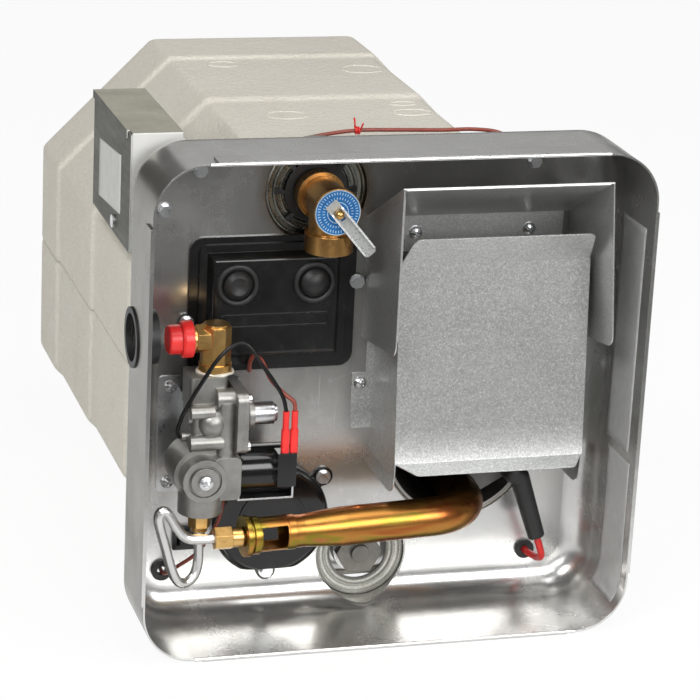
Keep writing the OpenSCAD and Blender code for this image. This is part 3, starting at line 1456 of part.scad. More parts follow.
module round_screws() {
    color("lightgray") wall_frame() {
        for (p = tab_screws_at) round_screw(p, -flue_sheet);
        for (p = hood_screws_at) round_screw(p, -flue_sheet);
        for (p = bracket_screws_at) round_screw(p, -bracket_t);
    }
}

module hex_screw(p, seat) {
    rod_y(screw_r, seat - over, sheet_t - slab, p[0], p[1]);
    rod_y(head_r + 0.6, seat - 0.8, seat, p[0], p[1]);
    translate([p[0], seat, p[1]]) rotate([90, 0, 0]) hex(hex_af, 4);
}

module hex_screws() {
    color("gray") wall_frame() {
        for (p = hex_screws_at) hex_screw(p, 0);
        for (p = clip_screws_at) hex_screw(p, -cover_t);
        for (p = elem_ears) hex_screw([elem_x + p[0], elem_z + p[1]], -cover_t);
    }
}

control_housing();
foam_jacket_upper();
foam_jacket_lower();
tank();
flue_tube();
hot_outlet();
cold_inlet();
tp_seal();
tp_gasket();
tp_valve_body();
tp_valve_tag();
tp_valve_stem();
tp_lever();
reset_cover();
button_rims();
reset_button_left();
reset_button_right();
thermostat();
limit_switch();
flue_hood();
flue_box();
gas_valve_body();
diaphragm_cover();
valve_screws();
regulator_tower();
solenoid_coil();
coil_frame();
valve_plug();
valve_bracket();
inlet_elbow();
shipping_cap();
outlet_fitting();
supply_tube();
orifice_holder();
burner_tube();
element_cover();
heating_element();
drain_seal();
drain_plug();
igniter_electrode();
igniter_bracket();
igniter_boot();
ignition_lead();
ignition_grommet();
wire_grommet();
gas_line_grommet();
switch_body();
switch_rocker();
junction_box();
junction_box_cover();
junction_box_grommet();
junction_box_screws();
valve_wire_black();
valve_wire_brown();
crimp_connectors();
switch_wire();
top_wire();
round_screws();
hex_screws();
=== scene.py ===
"""Caravan water heater seen from the outside wall: finishes, small trim, studio floor, lights and camera."""

import json
import math

import bmesh
import bpy
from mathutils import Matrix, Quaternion, Vector
from mathutils.bvhtree import BVHTree


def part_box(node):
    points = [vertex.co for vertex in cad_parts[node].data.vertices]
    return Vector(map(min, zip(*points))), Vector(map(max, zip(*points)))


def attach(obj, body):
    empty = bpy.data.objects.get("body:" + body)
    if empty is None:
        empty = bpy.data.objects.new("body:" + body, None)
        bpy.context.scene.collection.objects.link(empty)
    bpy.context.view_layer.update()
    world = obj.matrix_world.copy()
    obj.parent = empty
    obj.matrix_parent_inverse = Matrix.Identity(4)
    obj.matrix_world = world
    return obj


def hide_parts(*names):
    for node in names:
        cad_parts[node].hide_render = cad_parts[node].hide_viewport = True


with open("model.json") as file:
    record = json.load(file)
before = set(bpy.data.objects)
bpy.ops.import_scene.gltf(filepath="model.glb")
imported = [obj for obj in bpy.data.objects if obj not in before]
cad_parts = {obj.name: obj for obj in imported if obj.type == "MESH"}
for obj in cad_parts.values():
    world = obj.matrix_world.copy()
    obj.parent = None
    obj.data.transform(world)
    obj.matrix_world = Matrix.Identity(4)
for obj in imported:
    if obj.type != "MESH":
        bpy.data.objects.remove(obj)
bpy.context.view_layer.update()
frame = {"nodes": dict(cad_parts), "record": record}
nodes = frame["nodes"]
scene = bpy.context.scene

MM = 0.001


# node graph helpers

def new_material(name):
    """A material, its node tree and its surface shader."""
    material = bpy.data.materials.new(name)
    material.use_nodes = True
    tree = material.node_tree
    return material, tree, tree.nodes["Principled BSDF"]


def feed(tree, socket, value):
    """Link another node's output to a socket, or set the socket's own value."""
    if isinstance(value, bpy.types.NodeSocket):
        tree.links.new(value, socket)
    else:
        socket.default_value = value


def join(tree, node, **sockets):
    """Feed the named sockets of a node."""
    for key, value in sockets.items():
        feed(tree, node.inputs[key.replace("_", " ")], value)


def put(tree, kind, settings=None, **sockets):
    """One node of that kind. Sockets take a value or another node's output."""
    node = tree.nodes.new(kind)
    for key, value in (settings or {}).items():
        setattr(node, key, value)
    join(tree, node, **sockets)
    return node


def maths(tree, operation, *values, clamp=False):
    """The result of an operation on values or other nodes' outputs."""
    node = put(tree, "ShaderNodeMath", {"operation": operation, "use_clamp": clamp})
    for socket, value in zip(node.inputs, values):
        feed(tree, socket, value)
    return node.outputs[0]


def axes(tree, vector):
    """The X, Y and Z parts of a vector."""
    return put(tree, "ShaderNodeSeparateXYZ", Vector=vector).outputs


def facing(tree):
    """The X, Y and Z parts of the way that the surface faces."""
    return axes(tree, put(tree, "ShaderNodeNewGeometry").outputs["Normal"])


def place(tree, scale=(1, 1, 1), turn=(0, 0, 0)):
    """The point on the object in metres, turned, and stretched per axis."""
    where = put(tree, "ShaderNodeTexCoord").outputs["Object"]
    return put(tree, "ShaderNodeMapping", Vector=where, Scale=scale, Rotation=turn).outputs[0]


def noise(tree, vector, scale, detail=4.0, rough=0.55, swirl=0.0):
    """Cloudy noise with that many lumps to the metre."""
    return put(tree, "ShaderNodeTexNoise", Vector=vector, Scale=scale, Detail=detail,
               Roughness=rough, Distortion=swirl).outputs["Fac"]


def cells(tree, vector, scale, feature="F1"):
    """The outputs of a cell pattern with that many cells to the metre."""
    return put(tree, "ShaderNodeTexVoronoi", {"feature": feature}, Vector=vector, Scale=scale).outputs


def spread(tree, factor, low, high, start=0.3, end=0.7):
    """The factor between start and end, mapped to low and high."""
    return put(tree, "ShaderNodeMapRange", Value=factor, From_Min=start, From_Max=end,
               To_Min=low, To_Max=high).outputs[0]


def ramp(tree, factor, *stops):
    """The colour that the factor reaches between stops of position and colour."""
    node = put(tree, "ShaderNodeValToRGB", Fac=factor)
    points = node.color_ramp.elements
    while len(points) < len(stops):
        points.new(0.5)
    for point, (position, colour) in zip(points, stops):
        point.position = position
        point.color = (*colour, 1)
    return node.outputs["Color"]


MIX_SHARE, MIX_UNDER, MIX_OVER, MIX_COLOUR = 0, 6, 7, 2


def blend_colours(tree, share, under, over):
    """The colour under with that share of the colour over."""
    node = put(tree, "ShaderNodeMix", {"data_type": "RGBA"})
    feed(tree, node.inputs[MIX_SHARE], share)
    feed(tree, node.inputs[MIX_UNDER], under)
    feed(tree, node.inputs[MIX_OVER], over if isinstance(over, bpy.types.NodeSocket) else (*over, 1))
    return node.outputs[MIX_COLOUR]


def tinted(tree, under, factor, share, start, end, over):
    """The colour under with another one over it: none where the factor is start, up to that share at end."""
    return blend_colours(tree, spread(tree, factor, 0, share, start, end), under, over)


def added(tree, a, b, share):
    """a + b * share."""
    return maths(tree, "MULTIPLY_ADD", b, share, a)


def relief(tree, height, depth, strength=1.0, under=None):
    """A bump of that depth in metres, on top of another one."""
    node = put(tree, "ShaderNodeBump", Height=height, Distance=depth, Strength=strength)
    if under is not None:
        feed(tree, node.inputs["Normal"], under)
    return node.outputs["Normal"]


def soft_edge(tree, radius):
    """The normal of a surface whose edges are broken by that radius in metres."""
    return put(tree, "ShaderNodeBevel", {"samples": 4}, Radius=radius).outputs[0]


def from_axis(tree, node):
    """Distance of a point from the middle of a node, seen along Y, and the parts of the way there."""
    low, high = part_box(node)
    where = put(tree, "ShaderNodeTexCoord").outputs["Object"]
    local = put(tree, "ShaderNodeVectorMath", {"operation": "SUBTRACT"})
    feed(tree, local.inputs[0], where)
    feed(tree, local.inputs[1], (low + high) / 2)
    parts = axes(tree, local.outputs[0])
    flat = put(tree, "ShaderNodeCombineXYZ", X=parts["X"], Z=parts["Z"]).outputs[0]
    reach = put(tree, "ShaderNodeVectorMath", {"operation": "LENGTH"}, Vector=flat).outputs["Value"]
    return reach, parts


# finishes, with the places where they change in metres

def worn(name, dark, light, metal, rough, patch, grain, depth=0.00002, stain=None, specular=0.5, edge=0.0005):
    """A surface with broken edges, colour patches, a grain in its gloss and its relief, and faint stains."""
    material, tree, shader = new_material(name)
    point = place(tree)
    patches = noise(tree, point, patch, 5)
    fine = noise(tree, point, grain, 6, 0.6)
    colour = ramp(tree, patches, (0.3, dark), (0.7, light))
    if stain:
        spots = noise(tree, point, patch * 2.7, 8, 0.65, 0.6)
        colour = tinted(tree, colour, spots, 0.75, 0.56, 0.74, stain)
    gloss = spread(tree, added(tree, fine, patches, 0.8), *rough, 0.55, 1.25)
    join(tree, shader, Base_Color=colour, Metallic=metal, Roughness=gloss, Specular_IOR_Level=specular,
         Normal=relief(tree, fine, depth, under=soft_edge(tree, edge)))
    return material


STAIN_INNER, STAIN_OUTER = 0.0335, 0.0405
SIDE_FULL, SIDE_END = -0.15, -0.135
# heights of the back wall's painted reflection, which makes its foot paler, and its painted shade, which
# darkens its top
PAINTED_REFLECTION_FULL, PAINTED_REFLECTION_END = 0.045, 0.095
PAINTED_SHADE_START, PAINTED_SHADE_FULL = 0.09, 0.16


def stain_round(tree, node, marks):
    """Brown heat and flux stain that fades away from a round hole."""
    reach, _ = from_axis(tree, node)
    fade = spread(tree, reach, 0.85, 0, STAIN_INNER, STAIN_OUTER)
    return maths(tree, "MULTIPLY", fade, spread(tree, marks, 0.6, 1.0, 0.4, 0.6))


def drawn_aluminium():
    """Deep drawn sheet: grain, scuffs, scratches and water marks, painted shade on its left side, and a back
    wall with a painted reflection that makes its foot paler and painted shade that darkens its top."""
    material, tree, shader = new_material("drawn_aluminium")
    point = place(tree)
    grain = noise(tree, place(tree, (1, 1, 0.04)), 420, 6, 0.65)
    scuff = noise(tree, place(tree, (3, 14, 3), (0.2, 0.1, 0.3)), 34, 7, 0.7, 0.4)
    scratch = noise(tree, place(tree, (24, 24, 0.7), (0.0, 0.35, 0.2)), 26, 3, 0.5)
    cloud = noise(tree, point, 13, 5, 0.6, 0.8)
    marks = noise(tree, point, 55, 8, 0.7, 1.2)
    drops = noise(tree, point, 240, 4, 0.6)
    colour = ramp(tree, cloud, (0.25, (0.37, 0.36, 0.335)), (0.5, (0.485, 0.48, 0.46)),
                  (0.75, (0.59, 0.585, 0.57)))
    colour = tinted(tree, colour, marks, 0.32, 0.55, 0.75, (0.37, 0.355, 0.325))
    colour = tinted(tree, colour, drops, 0.18, 0.60, 0.74, (0.33, 0.32, 0.30))
    colour = tinted(tree, colour, scuff, 0.4, 0.55, 0.75, (0.84, 0.84, 0.83))
    colour = tinted(tree, colour, scratch, 0.3, 0.66, 0.74, (0.86, 0.86, 0.85))
    colour = blend_colours(tree, stain_round(tree, "tp_seal", marks), colour, (0.20, 0.12, 0.055))
    turned = facing(tree)
    where = axes(tree, point)
    # painted shade: faces that look left, on the housing's left side, are darkened
    painted_shade_left = maths(tree, "MULTIPLY", spread(tree, turned["X"], 1, 0, -0.95, -0.3),
                 spread(tree, where["X"], 0.95, 0, SIDE_FULL, SIDE_END))
    colour = blend_colours(tree, painted_shade_left, colour, (0.13, 0.125, 0.10))
    # painted reflection at the back wall's foot, which makes it paler, and painted shade at its top, which
    # darkens it
    back_wall = spread(tree, turned["Y"], 1, 0, -0.9, -0.6)
    for share, start, end, tone in ((0.6, PAINTED_REFLECTION_END, PAINTED_REFLECTION_FULL, (0.74, 0.74, 0.735)),
                                    (0.42, PAINTED_SHADE_START, PAINTED_SHADE_FULL, (0.27, 0.27, 0.26))):
        height = spread(tree, where["Z"], 0, share, start, end)
        colour = blend_colours(tree, maths(tree, "MULTIPLY", back_wall, height), colour, tone)
    gloss = spread(tree, added(tree, cloud, grain, 0.15), 0.19, 0.31, 0.40, 0.76)
    dents = relief(tree, noise(tree, point, 9, 2, 0.4), 0.0022, 0.5, soft_edge(tree, 0.0004))
    join(tree, shader, Base_Color=colour, Metallic=0.85, Roughness=gloss, Anisotropic=0.3,
         Normal=relief(tree, grain, 0.000008, 0.35, dents))
    return material


BEND_FROM, BEND_TO = 0.142, 0.107
BEND_RISE = 0.0045


def galvanised_sheet(name, clean=0.0, bend=False):
    """Zinc coated sheet: fine grain with bright specks, faint rubbing marks and dull patches. A clean one is
    paler, and a bent one turns away towards its foot."""
    material, tree, shader = new_material(name)
    point = place(tree)
    grain = noise(tree, point, 900, 5, 0.7)
    speck = noise(tree, point, 1400, 3, 0.6)
    cloud = noise(tree, point, 24, 5, 0.6, 0.4)
    rubbed = noise(tree, place(tree, (1, 9, 30), (0.0, 0.4, 0.1)), 20, 6, 0.7)
    spangle = put(tree, "ShaderNodeSeparateColor", Color=cells(tree, point, 900)["Color"]).outputs[0]
    colour = ramp(tree, grain, (0.34, (0.40, 0.405, 0.395)), (0.5, (0.59, 0.595, 0.585)),
                  (0.66, (0.78, 0.785, 0.775)))
    colour = tinted(tree, colour, spangle, 0.6, 0.1, 0.9, (0.36, 0.365, 0.355))
    colour = tinted(tree, colour, cloud, 0.4, 0.3, 0.7, (0.38, 0.38, 0.365))
    colour = tinted(tree, colour, speck, 0.7, 0.58, 0.66, (0.90, 0.90, 0.89))
    colour = tinted(tree, colour, rubbed, 0.3, 0.60, 0.76, (0.80, 0.80, 0.79))
    colour = blend_colours(tree, clean, colour, (0.84, 0.845, 0.835))
    gloss = spread(tree, added(tree, grain, cloud, 0.8), 0.30, 0.40, 0.6, 1.2)
    under = soft_edge(tree, 0.0005)
    if bend:
        fall = spread(tree, axes(tree, point)["Z"], 0, 1, BEND_FROM, BEND_TO)
        under = relief(tree, maths(tree, "POWER", fall, 2.0), BEND_RISE, under=under)
    join(tree, shader, Base_Color=colour, Metallic=0.85, Roughness=gloss,
         Normal=relief(tree, grain, 0.000006, 0.4, under))
    return material


BEADS = 300


def bead_foam():
    """Moulded bead foam: round cells with faint seams, slightly soiled."""
    material, tree, shader = new_material("bead_foam")
    point = place(tree)
    bead = cells(tree, point, BEADS)["Distance"]
    seam = cells(tree, point, BEADS, "DISTANCE_TO_EDGE")["Distance"]
    cloud = noise(tree, point, 9, 4)
    soil = noise(tree, point, 38, 8, 0.7, 0.5)
    fleck = noise(tree, point, 620, 3, 0.6)
    colour = ramp(tree, cloud, (0.3, (0.57, 0.54, 0.47)), (0.7, (0.62, 0.59, 0.52)))
    colour = blend_colours(tree, spread(tree, seam, 0.3, 0, 0.0, 0.14), colour, (0.46, 0.43, 0.37))
    colour = tinted(tree, colour, soil, 0.4, 0.56, 0.78, (0.45, 0.42, 0.36))
    colour = tinted(tree, colour, fleck, 0.6, 0.64, 0.70, (0.80, 0.79, 0.75))
    dome = relief(tree, bead, 0.0012, 0.35)
    join(tree, shader, Base_Color=colour, Roughness=spread(tree, soil, 0.55, 0.78), Specular_IOR_Level=0.35,
         Normal=relief(tree, noise(tree, point, 30, 3), 0.002, 0.16, dome))
    return material


HEAT_FROM, HEAT_TO = -0.212, -0.160
SOOT_FROM, SOOT_TO = -0.170, -0.110


def chromated_steel():
    """Yellow chromate over zinc: gold with pink and green hues, browned and then black towards the flame."""
    material, tree, shader = new_material("chromated_steel")
    point = place(tree)
    hue = noise(tree, place(tree, (0.45, 1, 1.4)), 30, 2, 0.5, 1.2)
    fine = noise(tree, place(tree, (0.08, 1, 1)), 700, 5)
    spot = noise(tree, point, 150, 7, 0.7)
    colour = ramp(tree, hue, (0.34, (0.36, 0.11, 0.03)), (0.43, (0.44, 0.185, 0.045)),
                  (0.50, (0.46, 0.22, 0.05)), (0.57, (0.27, 0.22, 0.03)), (0.66, (0.44, 0.15, 0.06)))
    colour = tinted(tree, colour, spot, 0.3, 0.6, 0.75, (0.30, 0.15, 0.04))
    where = axes(tree, point)
    heat = added(tree, added(tree, where["X"], where["Y"], 1.5), hue, 0.03)
    colour = tinted(tree, colour, heat, 0.5, HEAT_FROM, HEAT_TO, (0.34, 0.12, 0.05))
    colour = tinted(tree, colour, heat, 0.97, SOOT_FROM, SOOT_TO, (0.018, 0.014, 0.012))
    join(tree, shader, Base_Color=colour, Metallic=1.0, Roughness=spread(tree, fine, 0.26, 0.36),
         Normal=relief(tree, fine, 0.000003, under=soft_edge(tree, 0.0006)))
    return material


TAG_RINGS = (0.0140, 0.0066)
TAG_LINE = 0.00022
TAG_TICKS = ((0.0121, 0.0008, 44), (0.0091, 0.0007, 32))
TICK_SHARE = 0.13


def ringed_tag():
    """Printed round tag: plain rings and even ticks, no words."""
    material, tree, shader = new_material("ringed_tag")
    reach, parts = from_axis(tree, "tp_valve_tag")
    angle = maths(tree, "ARCTAN2", parts["Z"], parts["X"])
    prints = [maths(tree, "COMPARE", reach, ring, TAG_LINE) for ring in TAG_RINGS]
    for middle, width, count in TAG_TICKS:
        turn = maths(tree, "FRACT", maths(tree, "MULTIPLY", angle, count / (2 * math.pi)))
        band = maths(tree, "COMPARE", reach, middle, width)
        prints.append(maths(tree, "MULTIPLY", band, maths(tree, "COMPARE", turn, 0.5, TICK_SHARE)))
    printed = prints[0]
    for more in prints[1:]:
        printed = maths(tree, "MAXIMUM", printed, more)
    rub = noise(tree, place(tree), 420, 5, 0.65)
    ground = ramp(tree, rub, (0.3, (0.003, 0.085, 0.27)), (0.7, (0.006, 0.14, 0.38)))
    join(tree, shader, Base_Color=blend_colours(tree, printed, ground, (0.42, 0.55, 0.64)), Metallic=0.25,
         Roughness=spread(tree, rub, 0.28, 0.45))
    return material


LEVER_FLOOR, LEVER_TOP = -0.1808, -0.1825


def lever_channel():
    """Pressed steel channel: painted shade on its floor, between edges lightened as painted highlights."""
    material, tree, shader = new_material("lever_channel")
    point = place(tree)
    fine = noise(tree, point, 500, 5)
    patches = noise(tree, point, 120, 4)
    # painted shade on the channel's floor and painted highlight at its top edges, by depth along Y
    height = spread(tree, axes(tree, point)["Y"], 0, 1, LEVER_FLOOR, LEVER_TOP)
    colour = ramp(tree, height, (0.1, (0.52, 0.53, 0.52)), (0.9, (0.86, 0.87, 0.87)))
    colour = tinted(tree, colour, patches, 0.2, 0.5, 0.7, (0.40, 0.40, 0.39))
    join(tree, shader, Base_Color=colour, Metallic=0.6, Roughness=spread(tree, fine, 0.24, 0.36),
         Normal=relief(tree, fine, 0.000002, under=soft_edge(tree, 0.0003)))
    return material


def blank_label():
    """Foil sticker with nothing printed on it, slightly cockled."""
    material, tree, shader = new_material("blank_label")
    point = place(tree)
    cockle = noise(tree, point, 60, 3, 0.5)
    soil = noise(tree, point, 170, 6, 0.7)
    colour = ramp(tree, soil, (0.35, (0.44, 0.44, 0.43)), (0.7, (0.54, 0.54, 0.53)))
    join(tree, shader, Base_Color=colour, Metallic=0.35, Roughness=spread(tree, soil, 0.34, 0.5),
         Normal=relief(tree, cockle, 0.0004, 0.35))
    return material


def paper_label():
    """White paper sticker with nothing printed on it."""
    material, tree, shader = new_material("paper_label")
    point = place(tree)
    soil = noise(tree, point, 130, 6, 0.7)
    colour = ramp(tree, soil, (0.35, (0.46, 0.46, 0.43)), (0.7, (0.56, 0.56, 0.53)))
    join(tree, shader, Base_Color=colour, Roughness=spread(tree, soil, 0.5, 0.65),
         Normal=relief(tree, noise(tree, point, 900, 3), 0.00003))
    return material


def coated_sheet():
    """Olive coated sheet of the junction box: painted shade on its left side, and paler on its front faces.
    """
    material, tree, shader = new_material("coated_sheet")
    point = place(tree)
    streak = noise(tree, place(tree, (1, 0.15, 1)), 160, 6, 0.7)
    cloud = noise(tree, point, 26, 5, 0.6, 0.6)
    turned = facing(tree)
    lit = ramp(tree, cloud, (0.3, (0.34, 0.325, 0.26)), (0.7, (0.46, 0.44, 0.365)))
    shade = ramp(tree, cloud, (0.3, (0.05, 0.05, 0.038)), (0.7, (0.085, 0.085, 0.068)))
    # painted shade: faces that look left take the darker copy of the colour
    colour = blend_colours(tree, spread(tree, turned["X"], 1, 0, -0.9, -0.3), lit, shade)
    colour = tinted(tree, colour, streak, 0.25, 0.58, 0.75, (0.40, 0.39, 0.34))
    front = spread(tree, turned["Y"], 0.9, 0, -0.95, -0.6)
    colour = blend_colours(tree, front, colour, (0.66, 0.66, 0.645))
    join(tree, shader, Base_Color=colour, Metallic=0.5, Roughness=spread(tree, streak, 0.4, 0.58),
         Specular_IOR_Level=0.2, Normal=relief(tree, streak, 0.00002, under=soft_edge(tree, 0.0012)))
    return material


SEAL_INNER, SEAL_OUTER = 0.0190, 0.0298


def soiled_and_shaded_seal():
    """Pale push-on seal: paler step edges, dirt and painted shade in the grooves between its steps, and a
    painted shadow at its inner opening.
    """
    material, tree, shader = new_material("seal_ring")
    point = place(tree)
    reach, _ = from_axis(tree, "drain_seal")
    fine = noise(tree, point, 900, 6, 0.6)
    patches = noise(tree, point, 60, 5)
    # painted shadow at the inner opening, and dirt and painted shade in the grooves, by distance from the
    # middle
    bands = spread(tree, reach, 0, 1, SEAL_INNER, SEAL_OUTER)
    colour = ramp(tree, bands, (0.0, (0.10, 0.10, 0.09)), (0.16, (0.16, 0.16, 0.14)),
                  (0.24, (0.62, 0.62, 0.57)), (0.42, (0.30, 0.30, 0.27)), (0.50, (0.34, 0.34, 0.30)),
                  (0.58, (0.56, 0.56, 0.51)), (0.74, (0.44, 0.44, 0.40)), (0.82, (0.26, 0.26, 0.235)),
                  (0.9, (0.30, 0.30, 0.27)), (1.0, (0.58, 0.58, 0.54)))
    colour = tinted(tree, colour, patches, 0.5, 0.45, 0.7, (0.24, 0.235, 0.20))
    join(tree, shader, Base_Color=colour, Metallic=0.2, Roughness=spread(tree, fine, 0.2, 0.34),
         Normal=relief(tree, fine, 0.00001, under=soft_edge(tree, 0.0004)))
    return material


WORN = {
    "tank_aluminium": dict(dark=(0.52, 0.52, 0.51), light=(0.66, 0.66, 0.65), metal=1.0, rough=(0.35, 0.5),
                           patch=25, grain=300),
    "flue_steel": dict(dark=(0.36, 0.35, 0.33), light=(0.50, 0.49, 0.47), metal=1.0, rough=(0.4, 0.55),
                       patch=30, grain=250),
    "zinc_steel": dict(dark=(0.52, 0.53, 0.54), light=(0.72, 0.73, 0.74), metal=1.0, rough=(0.24, 0.36),
                       patch=90, grain=500, depth=0.000004, edge=0.0002),
    "cast_alloy": dict(dark=(0.25, 0.245, 0.23), light=(0.36, 0.355, 0.335), metal=0.85, rough=(0.32, 0.46),
                       patch=70, grain=900, depth=0.00012, stain=(0.24, 0.23, 0.21)),
    "brass": dict(dark=(0.58, 0.33, 0.10), light=(0.78, 0.50, 0.19), metal=1.0, rough=(0.24, 0.38),
                  patch=60, grain=900, depth=0.00001, stain=(0.46, 0.22, 0.07)),
    "bronze": dict(dark=(0.44, 0.22, 0.07), light=(0.70, 0.42, 0.15), metal=1.0, rough=(0.24, 0.38),
                   patch=45, grain=700, depth=0.00001, stain=(0.34, 0.16, 0.05), edge=0.001),
    "black_plastic": dict(dark=(0.004, 0.004, 0.004), light=(0.008, 0.008, 0.008), metal=0.0,
                          rough=(0.16, 0.30), patch=60, grain=1500, stain=(0.018, 0.017, 0.016)),
    "black_rubber": dict(dark=(0.006, 0.006, 0.006), light=(0.013, 0.013, 0.013), metal=0.0,
                         rough=(0.38, 0.58), patch=60, grain=1100, stain=(0.03, 0.029, 0.028)),
    "grey_plastic": dict(dark=(0.25, 0.25, 0.24), light=(0.34, 0.34, 0.33), metal=0.0, rough=(0.35, 0.5),
                         patch=60, grain=1000),
    "red_plastic": dict(dark=(0.55, 0.012, 0.012), light=(0.72, 0.025, 0.02), metal=0.0, rough=(0.28, 0.42),
                        patch=60, grain=900),
    "white_plastic": dict(dark=(0.70, 0.69, 0.66), light=(0.80, 0.79, 0.77), metal=0.0, rough=(0.35, 0.5),
                          patch=60, grain=900),
    "tube_alloy": dict(dark=(0.58, 0.575, 0.56), light=(0.74, 0.735, 0.72), metal=1.0, rough=(0.24, 0.4),
                       patch=60, grain=900),
    "ceramic": dict(dark=(0.72, 0.70, 0.66), light=(0.82, 0.81, 0.78), metal=0.0, rough=(0.25, 0.4),
                    patch=80, grain=900),
    "wire_black": dict(dark=(0.004, 0.004, 0.004), light=(0.008, 0.008, 0.008), metal=0.0,
                       rough=(0.22, 0.35), patch=80, grain=900, specular=0.3),
    "wire_brown": dict(dark=(0.17, 0.03, 0.018), light=(0.25, 0.045, 0.026), metal=0.0, rough=(0.3, 0.45),
                       patch=80, grain=900),
    "lead_red": dict(dark=(0.42, 0.012, 0.01), light=(0.60, 0.02, 0.015), metal=0.0, rough=(0.3, 0.45),
                     patch=80, grain=900),
    "dark_steel": dict(dark=(0.10, 0.095, 0.09), light=(0.19, 0.185, 0.175), metal=1.0, rough=(0.32, 0.5),
                       patch=60, grain=700, stain=(0.07, 0.06, 0.05)),
    "cast_iron": dict(dark=(0.11, 0.105, 0.095), light=(0.19, 0.185, 0.17), metal=1.0, rough=(0.36, 0.55),
                      patch=90, grain=700, depth=0.00004, stain=(0.10, 0.09, 0.08)),
    "ring_steel": dict(dark=(0.24, 0.25, 0.225), light=(0.42, 0.43, 0.39), metal=1.0, rough=(0.2, 0.36),
                       patch=60, grain=600, depth=0.000006, stain=(0.16, 0.12, 0.08)),
    "cream_sealant": dict(dark=(0.62, 0.58, 0.47), light=(0.74, 0.70, 0.60), metal=0.0, rough=(0.3, 0.45),
                          patch=90, grain=500, depth=0.0001),
    "gloss_black": dict(dark=(0.004, 0.004, 0.004), light=(0.008, 0.008, 0.008), metal=0.0,
                        rough=(0.09, 0.19), patch=60, grain=1500, depth=0.00001,
                        stain=(0.018, 0.017, 0.016)),
    "bright_edge": dict(dark=(0.62, 0.615, 0.60), light=(0.80, 0.795, 0.78), metal=1.0, rough=(0.16, 0.28),
                        patch=40, grain=600, depth=0.000006, stain=(0.40, 0.39, 0.36)),
}

finishes = {name: worn(name, **look) for name, look in WORN.items()}
finishes["housing_aluminium"] = drawn_aluminium()
finishes["foam"] = bead_foam()
finishes["galvanised"] = galvanised_sheet("galvanised_sheet")
finishes["burner_gold"] = chromated_steel()
finishes["tag_blue"] = ringed_tag()
finishes["box_sheet"] = coated_sheet()

own_finish = {
    "flue_box": galvanised_sheet("bent_plate", bend=True),
    "flue_hood": galvanised_sheet("hood_sheet", clean=0.3),
    "igniter_bracket": finishes["dark_steel"],
    "drain_plug": finishes["cast_iron"],
    "element_cover": finishes["gloss_black"],
    "solenoid_coil": finishes["gloss_black"],
    "tp_lever": lever_channel(),
    "junction_box": finishes["box_sheet"],
    "junction_box_cover": finishes["box_sheet"],
}
slot_of = {part["node"]: part["material_slot"] for part in frame["record"]["subparts"]}
for name, node in nodes.items():
    for spot in node.material_slots:
        spot.material = own_finish.get(name, finishes[slot_of[name]])


# helpers for pieces, whose sizes and places are millimetres in the back wall's frame

WALL = 130.7


def at(x, y, z):
    """A point of the back wall's frame in millimetres, in the shared frame in metres."""
    return Vector((x, y - WALL, z)) * MM


def round_y(x, y, z, radius, turn):
    """A point on the circle of that radius about the Y axis through x, z."""
    return at(x + radius * math.cos(turn), y, z + radius * math.sin(turn))


def part_turns(steps):
    """The angles of that many even steps round a circle."""
    return [2 * math.pi * i / steps for i in range(steps)]


def add_piece(name, data, finish, stands_for=None):
    """A piece that rides with the heater."""
    obj = bpy.data.objects.new(name, data)
    scene.collection.objects.link(obj)
    data.materials.clear()
    data.materials.append(finish)
    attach(obj, "heater")
    if stands_for:
        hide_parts(stands_for)
    return obj


def thicken(obj, thickness):
    """Give a sheet its thickness."""
    obj.modifiers.new("thick", "SOLIDIFY").thickness = thickness * MM


def as_mesh(name, build, crease=None):
    """The built faces as a mesh, turned outwards, with sharp edges past a crease of that many degrees."""
    bmesh.ops.recalc_face_normals(build, faces=build.faces)
    mesh = bpy.data.meshes.new(name)
    build.to_mesh(mesh)
    build.free()
    if crease:
        mesh.set_sharp_from_angle(angle=math.radians(crease))
    return mesh


def surface_of(mesh):
    """The mesh's faces, to throw points onto."""
    return BVHTree.FromPolygons([v.co for v in mesh.vertices], [p.vertices for p in mesh.polygons])


def round_line(name, radius, facets, closed_ends=False):
    """A curve without points yet, with a round section of that radius."""
    data = bpy.data.curves.new(name, "CURVE")
    data.dimensions = "3D"
    data.bevel_depth = radius * MM
    data.bevel_resolution = facets
    data.use_fill_caps = closed_ends
    return data


def smooth_spline(data, points, closed=False):
    """A spline of the curve that runs smoothly through the points."""
    spline = data.splines.new("BEZIER")
    spline.bezier_points.add(len(points) - 1)
    for knot, point in zip(spline.bezier_points, points):
        knot.co = point
        knot.handle_left_type = knot.handle_right_type = "AUTO"
    spline.use_cyclic_u = closed
    return spline


# wires

WIRE_R = 1.3
LEAD_R = 2.4
BLACK_ROUTE = ((-131.5, -40, 138), (-132.6, -40, 138), (-133.6, -41.5, 141.5), (-133, -43, 147),
               (-131, -45.5, 155), (-126.5, -48, 165.5), (-120.5, -50, 177), (-113, -51, 189.5),
               (-105.5, -51, 197.5), (-98, -51, 201), (-92, -52.5, 198.5), (-85, -54.5, 188),
               (-76, -56, 175), (-71, -56.5, 166), (-68.6, -56.5, 157))
BROWN_ROUTE = ((-80, -6.5, 173.5), (-80.5, -9, 169), (-83, -17, 171), (-85.5, -28, 180), (-85, -36, 187),
               (-82, -44, 186), (-77.5, -50, 176), (-70, -54.5, 168), (-64, -56.5, 163), (-63, -56.5, 157))
SWITCH_ROUTE = ((-132, 4, 32), (-132, -5, 32), (-130, -10, 34), (-123, -15, 41), (-115, -18, 48),
                (-107.5, -21, 59), (-102, -24, 72), (-99.5, -26, 86), (-99.5, -26.5, 100))
